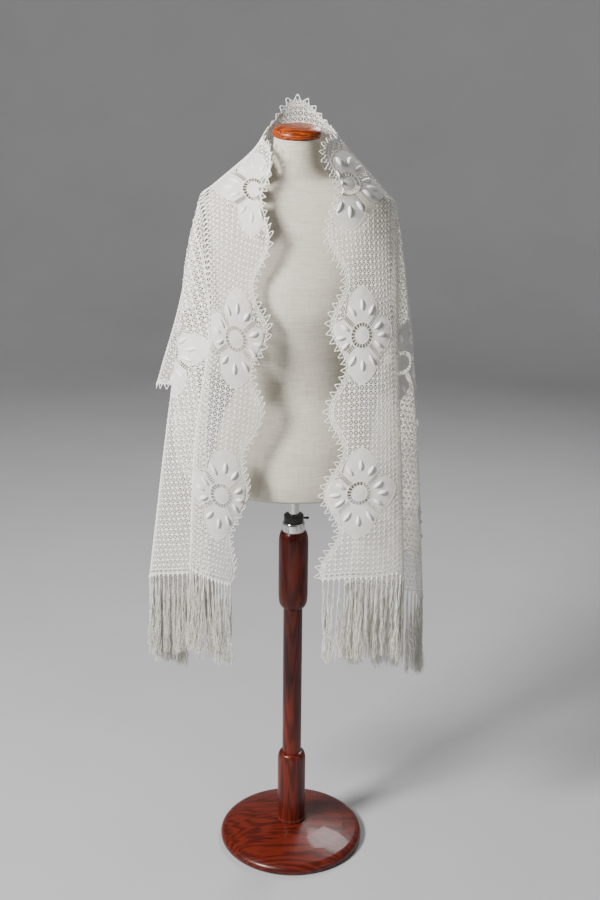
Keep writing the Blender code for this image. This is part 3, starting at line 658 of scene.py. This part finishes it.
def brushed_metal(name, colour, roughness, metallic=1.0):
    """Metal or black enamel with faint wear in its gloss."""
    material, tree, shader = new_material(name, colour, roughness)
    shader.inputs["Metallic"].default_value = metallic
    vector = coordinates(tree, (60.0, 60.0, 900.0))
    noise = node(tree, "ShaderNodeTexNoise", scale=1.0, detail=3.0)
    link(tree, vector, noise.inputs["Vector"])
    rough = node(tree, "ShaderNodeMapRange", to_min=roughness * 0.8, to_max=roughness * 1.5)
    link(tree, noise.outputs["Fac"], rough.inputs["Value"])
    link(tree, rough.outputs["Result"], shader.inputs["Roughness"])
    return material


IVORY = (0.92, 0.89, 0.82)
IVORY_DARK = (0.80, 0.77, 0.69)
LINEN_DARK = (0.47, 0.43, 0.35)
LINEN_LIGHT = (0.66, 0.62, 0.535)
MAHOGANY_DARK = (0.050, 0.005, 0.002)
MAHOGANY_LIGHT = (0.105, 0.011, 0.004)
NET_COTTON = cotton_thread("net_cotton", IVORY, IVORY_DARK)
CORD_COTTON = cotton_thread("cord_cotton", (0.88, 0.86, 0.80), (0.78, 0.75, 0.68))
# Petal cloth is the net's cotton painted darker: painted shade on the petals
PETAL_CLOTH_PAINTED_SHADE = cloth_stitch("petal_cloth_painted_shade", (0.76, 0.74, 0.69), (0.66, 0.64, 0.58))
# Leaf satin is the same cotton painted whiter: a painted highlight on the raised leaves
LEAF_SATIN_PAINTED_HIGHLIGHT = satin("leaf_satin_painted_highlight", (0.96, 0.95, 0.92))
FRINGE_COTTON = cotton_thread("fringe_cotton", (0.87, 0.85, 0.79), (0.72, 0.69, 0.61), roughness=0.6)
LINEN = linen_cover("linen_cover")
MAHOGANY = polished_wood("mahogany_polish", MAHOGANY_DARK, MAHOGANY_LIGHT, (22.0, 22.0, 1.6), 0.22)
MAHOGANY_DISC = polished_wood("mahogany_disc", MAHOGANY_DARK, MAHOGANY_LIGHT, (2.0, 16.0, 16.0), 0.18)
CAP_WOOD = polished_wood("cap_wood_polish", (0.13, 0.017, 0.003), (0.38, 0.070, 0.008),
                         (9.0, 34.0, 34.0), 0.12)
CHROME = brushed_metal("chrome_polish", (0.82, 0.82, 0.84), 0.10)
BLACK = brushed_metal("black_enamel", (0.020, 0.020, 0.022), 0.35, metallic=0.0)


# Lace layout

def medallions():
    """Places along and across the cloth of the medallions' centres, alike in both halves."""
    found = [CENTRE_MEDALLION]
    for along, inset in MEDALLION_PLACES:
        found.append((along, inset))
        found.append((along, SHAWL_WIDTH - inset))
    return found + [(SHAWL_LENGTH - along, across) for along, across in found]


def outline_radius(angle):
    """Outer radius of a medallion; the angle is measured from the across direction."""
    tip = np.where(np.abs(np.cos(angle)) > math.cos(LADDER_ANGLE), PETAL_ACROSS, PETAL_ALONG)
    off_axis = np.abs((angle + LADDER_ANGLE) % (2.0 * LADDER_ANGLE) - LADDER_ANGLE) / LADDER_ANGLE
    return PETAL_NOTCH + (tip - PETAL_NOTCH) * (1.0 - off_axis ** PETAL_ROUNDNESS)


def inside_medallion(flat, margin):
    """True where a flat point lies in a medallion's outline, less a margin."""
    result = np.zeros(len(flat), bool)
    for along, across in medallions():
        du, dv = flat[:, 0] - along, flat[:, 1] - across
        distance = np.hypot(du, dv)
        angle = np.arctan2(du, dv)
        aside = np.abs(np.abs(dv) - np.abs(du)) * math.sin(LADDER_ANGLE)
        result |= distance < outline_radius(angle) - margin
        result |= (distance < LADDER_REACH - margin) & (aside < LADDER_HALF)
    return result


def in_cloth(flat, margin):
    """True inside the scalloped rims and the hems, less a margin."""
    depth = rim_depth(flat[:, 0]) + margin
    return ((flat[:, 1] > depth) & (flat[:, 1] < SHAWL_WIDTH - depth)
            & (flat[:, 0] > HEM_BAND - 0.001) & (flat[:, 0] < SHAWL_LENGTH - HEM_BAND + 0.001))


def make_net():
    """Stars at the knots, dots between them, and the threads that join them."""
    shapes = FlatShapes()
    rows = int(SHAWL_LENGTH / NET_ALONG)
    columns = int(SHAWL_WIDTH / NET_ACROSS) + 1
    u = 0.5 * (SHAWL_LENGTH - (rows - 1) * NET_ALONG) + NET_ALONG * np.arange(rows)
    v = 0.5 * (SHAWL_WIDTH - (columns - 1) * NET_ACROSS) + NET_ACROSS * np.arange(columns)
    knots = np.stack(np.meshgrid(u, v, indexing="ij"), axis=-1)
    knots[..., 0] += rng.normal(0.0, KNOT_JITTER, knots.shape[:2])
    knots[..., 1] += rng.normal(0.0, KNOT_JITTER, knots.shape[:2])
    centres = 0.25 * (knots[:-1, :-1] + knots[1:, :-1] + knots[1:, 1:] + knots[:-1, 1:])

    def shown(start, end):
        middle = 0.5 * (start + end)
        keep = in_cloth(middle, BRAID_WIDTH * 0.6) & ~inside_medallion(middle, 0.001)
        return start[keep], end[keep]

    for start, end in ((knots[:-1], knots[1:]), (knots[:, :-1], knots[:, 1:])):
        shapes.threads(*shown(start.reshape(-1, 2), end.reshape(-1, 2)), THREAD_WIDTH)
    for corner in (knots[:-1, :-1], knots[1:, :-1], knots[1:, 1:], knots[:-1, 1:]):
        shapes.threads(*shown(corner.reshape(-1, 2), centres.reshape(-1, 2)), CROSS_WIDTH, base=0.0001)
    stars, _ = shown(knots.reshape(-1, 2), knots.reshape(-1, 2))
    shapes.domes(stars, (STAR_RADIUS, STAR_RADIUS * STAR_WAIST) * 4, STAR_RISE, base=0.0002)
    dots, _ = shown(centres.reshape(-1, 2), centres.reshape(-1, 2))
    shapes.domes(dots, (DOT_RADIUS,) * 4, DOT_RISE, base=0.0002)
    return shapes


def turned_flat(points, medallion):
    """Local (across, along) points of a medallion on the flat cloth."""
    along, across = medallion
    flat = np.stack((along + points[..., 1], across + points[..., 0]), axis=-1)
    depth = rim_depth(flat[..., 0]) + BRAID_WIDTH * 0.5
    flat[..., 1] = np.clip(flat[..., 1], depth, SHAWL_WIDTH - depth)
    return flat


def make_petals():
    """Four petals and the middle disc of each medallion, in cloth stitch."""
    shapes = FlatShapes()
    steps = np.linspace(0.0, 1.0, 13)
    for medallion in medallions():
        for middle in QUARTERS:
            sweep = np.linspace(-1.0, 1.0, 15)
            s, t = np.meshgrid(steps, sweep, indexing="ij")
            radius = RING_RADIUS + s * (outline_radius(middle + t * LADDER_ANGLE) - RING_RADIUS)
            angle = middle + t * (LADDER_ANGLE - np.arcsin(LADDER_HALF / radius))
            local = np.stack((radius * np.cos(angle), radius * np.sin(angle)), axis=-1)
            crown = PETAL_RISE + PETAL_CROWN * np.sin(np.pi * s) * (1.0 - t ** 2)
            shapes.grid(turned_flat(local, medallion), crown)
        s, t = np.meshgrid(np.linspace(0.02, 1.0, 5), np.linspace(0, 2 * math.pi, 25), indexing="ij")
        local = np.stack((DISC_RADIUS * s * np.cos(t), DISC_RADIUS * s * np.sin(t)), axis=-1)
        shapes.grid(turned_flat(local, medallion), PETAL_RISE + DISC_CROWN * (1.0 - s ** 2))
    return shapes


def make_ladders():
    """Bars of the ring and of the four diagonal ladders, and cords along the petals' edges."""
    shapes = FlatShapes()
    for medallion in medallions():
        angles = 2.0 * math.pi * np.arange(RING_BARS) / RING_BARS
        unit = np.stack((np.cos(angles), np.sin(angles)), axis=1)
        start = turned_flat(unit * (DISC_RADIUS - 0.0005), medallion)
        end = turned_flat(unit * (RING_RADIUS + BAR_OVERLAP), medallion)
        shapes.threads(start, end, BAR_WIDTH, base=BAR_RISE)
        for angle in (LADDER_ANGLE, math.pi - LADDER_ANGLE, math.pi + LADDER_ANGLE, -LADDER_ANGLE):
            distance = np.arange(RING_RADIUS + 0.0025, LADDER_REACH, LADDER_PITCH)
            run = np.array((math.cos(angle), math.sin(angle)))
            side = np.array((-run[1], run[0]))
            middle = distance[:, None] * run
            over = LADDER_HALF + BAR_OVERLAP
            start = turned_flat(middle - side * over, medallion)
            end = turned_flat(middle + side * over, medallion)
            shapes.threads(start, end, BAR_WIDTH, base=BAR_RISE)
            for sign in (-1.0, 1.0):
                line = turned_flat(np.linspace(RING_RADIUS - 0.0005, LADDER_REACH, 12)[:, None] * run
                                   + sign * side * (LADDER_HALF + 0.0002), medallion)
                shapes.threads(line[:-1], line[1:], 0.0013, base=0.0010)
        for radius, count in ((DISC_RADIUS, 24), (RING_RADIUS, 30)):
            angles = np.linspace(0.0, 2.0 * math.pi, count + 1)
            ring = turned_flat(radius * np.stack((np.cos(angles), np.sin(angles)), axis=1), medallion)
            shapes.threads(ring[:-1], ring[1:], 0.0015, base=0.0011)
        angles = np.linspace(0.0, 2.0 * math.pi, 81)
        reach = outline_radius(angles)
        rim = turned_flat(reach[:, None] * np.stack((np.cos(angles), np.sin(angles)), axis=1), medallion)
        shapes.threads(rim[:-1], rim[1:], 0.0013, base=0.0008)
    return shapes


def make_leaves():
    """Three raised satin leaves on each petal, fanned like a bird's foot."""
    shapes = FlatShapes()
    s, t = np.meshgrid(np.linspace(0.0, 1.0, 9), np.linspace(-1.0, 1.0, 7), indexing="ij")
    width = LEAF_WIDTH * 0.5 * np.sin(np.pi * np.clip(s, 0.02, 0.98)) ** 0.75
    dome = LEAF_BASE + LEAF_RISE * np.sqrt(np.clip(1.0 - t ** 2, 0.0, 1.0)) * np.sin(np.pi * s) ** 0.5
    for medallion in medallions():
        for middle, middle_reach in zip(QUARTERS, LEAF_REACHES):
            for lean in (-1.0, 0.0, 1.0):
                turn = middle + lean * LEAF_TURN
                place = middle + lean * LEAF_SPREAD
                distance = middle_reach - OUTER_LEAF_DROP * abs(lean)
                run = np.array((math.cos(turn), math.sin(turn)))
                side = np.array((-run[1], run[0]))
                centre = distance * np.array((math.cos(place), math.sin(place)))
                local = (centre + (s[..., None] - 0.5) * LEAF_LENGTH * run + (t * width)[..., None] * side)
                shapes.grid(turned_flat(local, medallion), dome)
    return shapes


def rim_line(outer):
    """Dense flat points along one scalloped rim, and their lengths from the left end."""
    u = np.linspace(0.0, SHAWL_LENGTH, 4001)
    v = rim_depth(u)
    if outer:
        v = SHAWL_WIDTH - v
    line = np.stack((u, v), axis=1)
    lengths = np.concatenate(([0.0], np.cumsum(np.linalg.norm(np.diff(line, axis=0), axis=1))))
    return line, lengths


def along_rim(line, lengths, where):
    """Flat points and outward directions at the given lengths of a rim."""
    point, ahead, behind = (
        np.stack([np.interp(where + shift, lengths, line[:, axis]) for axis in (0, 1)], axis=1)
        for shift in (0.0, 0.001, -0.001))
    run = ahead - behind
    run /= np.linalg.norm(run, axis=1, keepdims=True)
    outward = np.stack((run[:, 1], -run[:, 0]), axis=1)
    outward *= np.sign(outward[:, 1:2] * (point[:, 1:2] - 0.5 * SHAWL_WIDTH))
    return point, outward


def make_braid():
    """Two cords along each rim with crossing threads between, and the hem bands."""
    shapes = FlatShapes()
    for outer in (False, True):
        line, lengths = rim_line(outer)
        where = np.linspace(0.0, lengths[-1], int(lengths[-1] / BRAID_PITCH))
        point, outward = along_rim(line, lengths, where)
        for inset, width, base in RIM_CORDS:
            cord = point - outward * inset
            shapes.threads(cord[:-1], cord[1:], width, base=base)
        near = point - outward * 0.0004
        far = point - outward * BRAID_WIDTH
        shapes.threads(near[:-1], far[1:], 0.0010, base=0.0003)
        shapes.threads(far[:-1], near[1:], 0.0010, base=0.0004)
    for end in (0.0, SHAWL_LENGTH):
        inward = 1.0 if end == 0.0 else -1.0
        depth = float(rim_depth(np.array(end)))
        v = np.linspace(depth, SHAWL_WIDTH - depth, HEM_STEPS)
        for inset, width, base in HEM_CORDS:
            cord = np.stack((np.full_like(v, end + inward * inset), v), axis=1)
            shapes.threads(cord[:-1], cord[1:], width, base=base)
        near = np.stack((np.full_like(v, end + inward * 0.001), v), axis=1)
        far = np.stack((np.full_like(v, end + inward * HEM_BAND), v), axis=1)
        shapes.threads(near[:-1:2], far[1::2], 0.0013, base=0.0003)
        shapes.threads(far[:-1:2], near[1::2], 0.0013, base=0.0003)
    return shapes


# Cords and threads

def tube(paths, normals, radius, sides):
    """Points and faces of round cords along paths (cords, points, 3)."""
    tangent = np.gradient(paths, axis=1)
    tangent /= np.maximum(np.linalg.norm(tangent, axis=2, keepdims=True), 1e-9)
    up = normals - tangent * np.sum(normals * tangent, axis=2, keepdims=True)
    up /= np.maximum(np.linalg.norm(up, axis=2, keepdims=True), 1e-9)
    aside = np.cross(tangent, up)
    angles = 2.0 * math.pi * np.arange(sides) / sides
    radius = np.broadcast_to(radius, paths.shape[:2])[..., None, None]
    ring = (up[:, :, None, :] * np.cos(angles)[:, None] + aside[:, :, None, :] * np.sin(angles)[:, None])
    points = paths[:, :, None, :] + ring * radius
    cords, steps = paths.shape[:2]
    index = np.arange(cords * steps * sides).reshape(cords, steps, sides)
    after = np.roll(index, -1, axis=2)
    quads = np.stack((index[:, :-1], after[:, :-1], after[:, 1:], index[:, 1:]), axis=-1)
    return points.reshape(-1, 3), quads.reshape(-1, 4)


def make_loops(name, outer, pitch_share=1.0, reach=LOOP_REACH, cord=LOOP_CORD):
    """Zigzag cord with rounded tips along one rim."""
    line, lengths = rim_line(outer)
    loops = int(lengths[-1] / (LOOP_PITCH * pitch_share))
    pitch = lengths[-1] / loops
    where = (np.arange(loops)[:, None] + LOOP_TURNS[None, :]).ravel() * pitch
    away = np.tile(LOOP_RISES, loops) * reach
    jitter = np.repeat(rng.normal(1.0, 0.06, loops), len(LOOP_TURNS))
    point, outward = along_rim(line, lengths, where)
    flat = point + outward * (away * np.clip(jitter, 0.85, 1.08))[:, None]
    flat[:, 1] = np.clip(flat[:, 1], 0.0006, SHAWL_WIDTH - 0.0006)
    path = cloth_points(flat)
    normal = cloth_normals(flat)
    lift = 0.0008 * np.sin(2.0 * math.pi * np.tile(LOOP_TURNS, loops))
    path += normal * (0.0006 + lift)[:, None]
    points, quads = tube(path[None], normal[None], cord, 6)
    return mesh_piece(name, points, quads, CORD_COTTON)


def make_picots(name, outer):
    """Small knots at the loops' tips and feet."""
    line, lengths = rim_line(outer)
    loops = int(lengths[-1] / LOOP_PITCH)
    pitch = lengths[-1] / loops
    shapes = FlatShapes()
    for turn, away, size in PICOTS:
        point, outward = along_rim(line, lengths, (np.arange(loops) + turn) * pitch)
        shapes.domes(point + outward * away, (size,) * 6, PICOT_RISE, base=0.0006)
    return shapes.piece(name, CORD_COTTON)


def make_fringe(name, left):
    """Knotted tassels of fine threads along one hem."""
    end = 0.0 if left else SHAWL_LENGTH
    depth = float(rim_depth(np.array(end))) + TASSEL_INSET
    v = np.linspace(depth, SHAWL_WIDTH - depth, TASSELS)
    hem = np.stack((np.full_like(v, end), v), axis=1)
    root = cloth_points(hem)
    out = cloth_normals(hem)
    steps = np.linspace(0.0, 1.0, 15)
    count = TASSELS * TASSEL_THREADS
    roots = np.repeat(root, TASSEL_THREADS, axis=0)
    angle = rng.uniform(0.0, 2.0 * math.pi, count)
    reach = np.sqrt(rng.uniform(0.05, 1.0, count))
    length = TASSEL_LENGTH * (1.0 - 0.12 * rng.beta(1.2, 3.0, count))
    tassel_length = np.repeat(rng.normal(1.0, 0.025, TASSELS), TASSEL_THREADS)
    length = np.minimum(length * tassel_length, TASSEL_LENGTH * 1.02)
    spread = TASSEL_SPREAD[0] + TASSEL_SPREAD[1] * np.clip((steps - 0.12) / 0.88, 0.0, 1.0) ** 1.1
    twist = 5.0 * np.exp(-steps * 5.0)
    lean = np.repeat(rng.normal(0.0, TASSEL_LEAN, (TASSELS, 2)), TASSEL_THREADS, axis=0)
    phase = rng.uniform(0.0, 2.0 * math.pi, (count, 2))
    swing = rng.uniform(*THREAD_SWING, (count, 2))
    pace = rng.uniform(1.2, 3.0, (count, 2))
    path = np.empty((count, len(steps), 3))
    for axis, turn in ((0, np.cos), (1, np.sin)):
        beat = phase[:, axis, None] + 2 * math.pi * pace[:, axis, None] * steps
        wave = swing[:, axis, None] * np.sin(beat)
        path[:, :, axis] = (roots[:, axis, None]
                            + turn(angle[:, None] + twist) * reach[:, None] * spread
                            + wave * steps + lean[:, axis, None] * steps ** 1.5)
    path[:, :, 2] = roots[:, 2, None] - 0.0015 - length[:, None] * steps
    normals = np.broadcast_to(np.array((0.0, -1.0, 0.0)), path.shape)
    radius = np.broadcast_to(FRINGE_THREAD[0] - FRINGE_THREAD[1] * steps, path.shape[:2])
    points, quads = tube(path, normals, radius, 3)
    threads = mesh_piece(name, points, quads, FRINGE_COTTON)
    knot_steps = np.linspace(-1.0, 1.0, 7)
    centres = root + np.array((0.0, 0.0, -KNOT_DROP))
    knots = centres[:, None, :] + np.array((0.0, 0.0, -KNOT_HALF)) * knot_steps[None, :, None]
    swell = KNOT_RADIUS[0] + KNOT_RADIUS[1] * np.sqrt(np.clip(1.0 - knot_steps ** 2, 0.0, 1.0))
    normals = np.repeat(out[:, None, :], len(knot_steps), axis=1)
    points, quads = tube(knots, normals, np.broadcast_to(swell, knots.shape[:2]), 7)
    heads = mesh_piece(name + "_knots", points, quads, CORD_COTTON)
    return threads, heads


# Stand and dress form

def lathe(name, profile, material, around=AROUND, tilt=0.0, origin=(0.0, 0.0, 0.0)):
    """Turned piece with a fine rounded profile of radius and height."""
    rows = np.array(profile)
    points = ring_points(rows, around)
    turn = np.array(Matrix.Rotation(math.radians(tilt), 3, "X"))
    points = points @ turn.T + np.array(origin)
    made = mesh_piece(name, points, ring_quads(len(rows), around), material)
    cap_ends(made, around)
    made.data.set_sharp_from_angle(angle=math.radians(40.0))
    return made


def cap_ends(item, around):
    """Closes the first and the last ring of a turned piece."""
    work = bmesh.new()
    work.from_mesh(item.data)
    work.verts.ensure_lookup_table()
    count = len(work.verts)
    work.faces.new([work.verts[i] for i in range(around)][::-1])
    work.faces.new([work.verts[i] for i in range(count - around, count)])
    work.to_mesh(item.data)
    work.free()


def rounded(profile, radius=0.0012, steps=4):
    """Profile with its corners rounded off."""
    rows = [np.array(p) for p in profile]
    result = [rows[0]]
    for before, corner, after in zip(rows[:-2], rows[1:-1], rows[2:]):
        into = (before - corner) / np.linalg.norm(before - corner)
        out = (after - corner) / np.linalg.norm(after - corner)
        cut = min(radius, 0.45 * np.linalg.norm(before - corner), 0.45 * np.linalg.norm(after - corner))
        for part in np.linspace(0.0, 1.0, steps):
            result.append((1 - part) ** 2 * (corner + into * cut) + 2 * part * (1 - part) * corner
                          + part ** 2 * (corner + out * cut))
    result.append(rows[-1])
    return result


def monotone(knots, values, at):
    """Smooth curve through table values that never overshoots them."""
    spans = np.diff(knots)
    chords = np.diff(values) / spans
    slopes = np.zeros(len(knots))
    same = chords[:-1] * chords[1:] > 0
    weights = (2 * spans[1:] + spans[:-1], spans[1:] + 2 * spans[:-1])
    with np.errstate(divide="ignore", invalid="ignore"):
        mean = (weights[0] + weights[1]) / (weights[0] / chords[:-1] + weights[1] / chords[1:])
    slopes[1:-1] = np.where(same, mean, 0.0)
    slopes[0], slopes[-1] = chords[0], chords[-1]
    index = np.clip(np.searchsorted(knots, at, side="right") - 1, 0, len(spans) - 1)
    part = (at - knots[index]) / spans[index]
    return (values[index] * (1 + 2 * part) * (1 - part) ** 2
            + slopes[index] * spans[index] * part * (1 - part) ** 2
            + values[index + 1] * part ** 2 * (3 - 2 * part)
            + slopes[index + 1] * spans[index] * part ** 2 * (part - 1))


def make_torso():
    """Smooth linen-covered torso through the sections."""
    table = np.array(TORSO_SECTIONS)
    knots = np.concatenate(([0.0], np.cumsum(np.hypot(np.diff(table[:, 0]), np.diff(table[:, 1])))))
    at = np.unique(np.concatenate((np.linspace(0.0, knots[-1], 110), knots)))
    columns = [monotone(knots, table[:, column], at) for column in range(5)]
    angles = 2.0 * math.pi * np.arange(AROUND) / AROUND
    rings = []
    for z, width, front, back, tilt in zip(*columns):
        depth = np.where(np.sin(angles) > 0.0, back, front)
        y = depth * np.sin(angles)
        rings.append(np.stack((width * np.cos(angles), y, z + y * math.tan(math.radians(tilt))), axis=1))
    torso = mesh_piece("torso_linen", np.concatenate(rings), ring_quads(len(rings), AROUND), LINEN)
    cap_ends(torso, AROUND)
    torso.data.set_sharp_from_angle(angle=math.radians(50.0))
    return torso


def dress(piece, node_name):
    """The piece rides on the only body, and stands for a node if one is named."""
    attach(piece, "root")
    if node_name:
        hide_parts(node_name)
    return piece


def make_turned(name, foot, profile, radius):
    """Turned wooden piece that stands at the height of its node's foot."""
    rows = [(r, z + foot) for r, z in rounded(profile, radius)]
    dress(lathe(name + "_wood", rows, MAHOGANY), name)


def make_stand():
    """Turned wood, chrome and black pieces from the floor to the torso."""
    dress(lathe("base_wood", rounded(BASE_PROFILE, 0.004), MAHOGANY_DISC, 128), "base")
    make_turned("post_socket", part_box("post_socket")[0].z, SOCKET_PROFILE, 0.003)
    low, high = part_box("post")
    rows = [(POST_RADIUS, z) for z in np.linspace(low.z, high.z, 4)]
    dress(lathe("post_wood", rows, MAHOGANY), "post")
    make_turned("grip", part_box("grip")[0].z, GRIP_PROFILE, 0.005)
    low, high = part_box("ferrule")
    ferrule = rounded(((0.0249, low.z), (0.0249, high.z - 0.003), (0.0232, high.z)), 0.0015)
    dress(lathe("ferrule_chrome", ferrule, CHROME), "ferrule")
    low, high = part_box("clamp")
    clamp = rounded(((0.0200, low.z), (0.0215, low.z + 0.0015), (0.0215, high.z - 0.0015),
                     (0.0200, high.z)), 0.0010)
    dress(lathe("clamp_black", clamp, BLACK), "clamp")
    low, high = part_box("tube")
    rows = [(TUBE_RADIUS, z) for z in np.linspace(low.z, high.z, 3)]
    dress(lathe("tube_chrome", rows, CHROME, 64), "tube")
    low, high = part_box("clamp_lever")
    lever = rounded(((0.0026, 0.0), (0.0022, 0.004), (0.0032, 0.007), (0.0031, 0.0095),
                     (0.0022, high.x - low.x)), 0.0008)
    lever = lathe("clamp_lever_black", lever, BLACK, 32)
    lever.data.transform(Matrix.Translation((low.x, 0.0, 0.5 * (low.z + high.z)))
                         @ Matrix.Rotation(math.pi / 2.0, 4, "Y"))
    dress(lever, "clamp_lever")


def make_cap():
    """Turned wooden cap, tilted as the top of the torso is."""
    height, tilt = TORSO_SECTIONS[-1][0], TORSO_SECTIONS[-1][4]
    cap = lathe("neck_cap_wood", rounded(CAP_PROFILE, 0.003), CAP_WOOD, tilt=tilt, origin=(0.0, 0.0, height))
    dress(cap, "neck_cap")


# Build

def join_pieces(piece, other):
    """Makes the dense petals part of the net's own cloth."""
    chosen = [piece, other]
    with bpy.context.temp_override(active_object=piece, object=piece, selected_objects=chosen,
                                   selected_editable_objects=chosen):
        bpy.ops.object.join()
    return piece


def make_shawl():
    """The lace, its edging and its fringe, with one joined net-and-petal piece for each stretch."""
    net = make_net()
    petals = make_petals()
    ladders = make_ladders()
    leaves = make_leaves()
    braid = make_braid()
    picots = [make_picots("neck_loop_knots", False), make_picots("outer_loop_knots", True)]
    loops = [make_loops("neck_loops", False), make_loops("outer_loops", True)]
    inner_loops = [make_loops(name, outer, 0.5, INNER_LOOP_REACH, INNER_LOOP_CORD)
                   for name, outer in (("neck_inner_loops", False), ("outer_inner_loops", True))]
    fringes = [make_fringe("fringe_left_threads", True), make_fringe("fringe_right_threads", False)]
    for piece, node_name in zip(loops, ("neck_edging", "outer_edging")):
        dress(piece, node_name)
    for piece in picots + inner_loops:
        dress(piece, None)
    for (threads, knots), node_name in zip(fringes, ("fringe_left", "fringe_right")):
        dress(threads, node_name)
        dress(knots, None)
    slanted = 0.5 * SHOULDER_ACROSS * (NECK_ALONG + SHOULDER_ALONG)
    front = (slanted + (SHAWL_WIDTH - SHOULDER_ACROSS) * SHOULDER_ALONG) / SHAWL_WIDTH
    lengths = (("shawl_left_front", front), ("shawl_back", SHAWL_LENGTH - 2.0 * front),
               ("shawl_right_front", front))
    for stretch, (name, length) in enumerate(lengths):
        cloth = join_pieces(net.piece(name + "_net", NET_COTTON, stretch),
                            petals.piece(name + "_petals", PETAL_CLOTH_PAINTED_SHADE, stretch))
        sheet = dress(cloth, name)
        extras = [
            dress(ladders.piece(name + "_ladders", CORD_COTTON, stretch), None),
            dress(leaves.piece(name + "_leaves", LEAF_SATIN_PAINTED_HIGHLIGHT, stretch), None),
            dress(braid.piece(name + "_braid", CORD_COTTON, stretch), None),
        ]


def area_light(name, place, height, size, power, colour):
    data = bpy.data.lights.new(name, "AREA")
    data.shape = "DISK"
    data.size = size
    data.energy = power
    data.color = colour
    item = bpy.data.objects.new(name, data)
    item.location = place
    bpy.context.scene.collection.objects.link(item)
    direction = Vector((0.0, 0.0, height)) - item.location
    item.rotation_euler = direction.to_track_quat("-Z", "Y").to_euler()


def make_stage():
    """Round floor that curves up into a wall, soft sky light and three lamps."""
    material, tree, shader = new_material("floor_paint", STUDIO_PAINT, 0.9)
    colour_noise(tree, shader, coordinates(tree, (1.0, 1.0, 1.0)), 2.0,
                 ([0.97 * value for value in STUDIO_PAINT], [1.03 * value for value in STUDIO_PAINT]))
    bend = np.linspace(0.0, 0.5 * math.pi, 13)
    profile = [(0.01, 0.0), (STUDIO_RADIUS - STUDIO_BEND, 0.0)]
    profile += [(STUDIO_RADIUS - STUDIO_BEND * (1.0 - math.sin(a)), STUDIO_BEND * (1.0 - math.cos(a)))
                for a in bend[1:]]
    profile.append((STUDIO_RADIUS, STUDIO_HEIGHT))
    rows = np.array(profile)
    quads = ring_quads(len(rows), AROUND)[:, [0, 3, 2, 1]]
    mesh_piece("floor", ring_points(rows, AROUND), quads, material)
    world = bpy.data.worlds.new("studio")
    world.use_nodes = True
    sky = world.node_tree.nodes["Background"]
    sky.inputs["Color"].default_value = SKY_COLOUR
    sky.inputs["Strength"].default_value = SKY_STRENGTH
    bpy.context.scene.world = world
    for row in LIGHTS:
        area_light(*row)


def make_camera():
    data = bpy.data.cameras.new("camera")
    data.lens = CAMERA_LENS
    data.sensor_width = CAMERA_SENSOR
    item = bpy.data.objects.new("camera", data)
    turn = (Matrix.Rotation(math.radians(90.0 - CAMERA_DOWN), 4, "X")
            @ Matrix.Rotation(math.radians(CAMERA_ROLL), 4, "Z"))
    item.matrix_world = Matrix.Translation(CAMERA_PLACE) @ turn
    bpy.context.scene.collection.objects.link(item)
    bpy.context.scene.camera = item


make_camera()
make_stage()
torso = dress(make_torso(), "torso")
make_cap()
make_stand()
make_shawl()
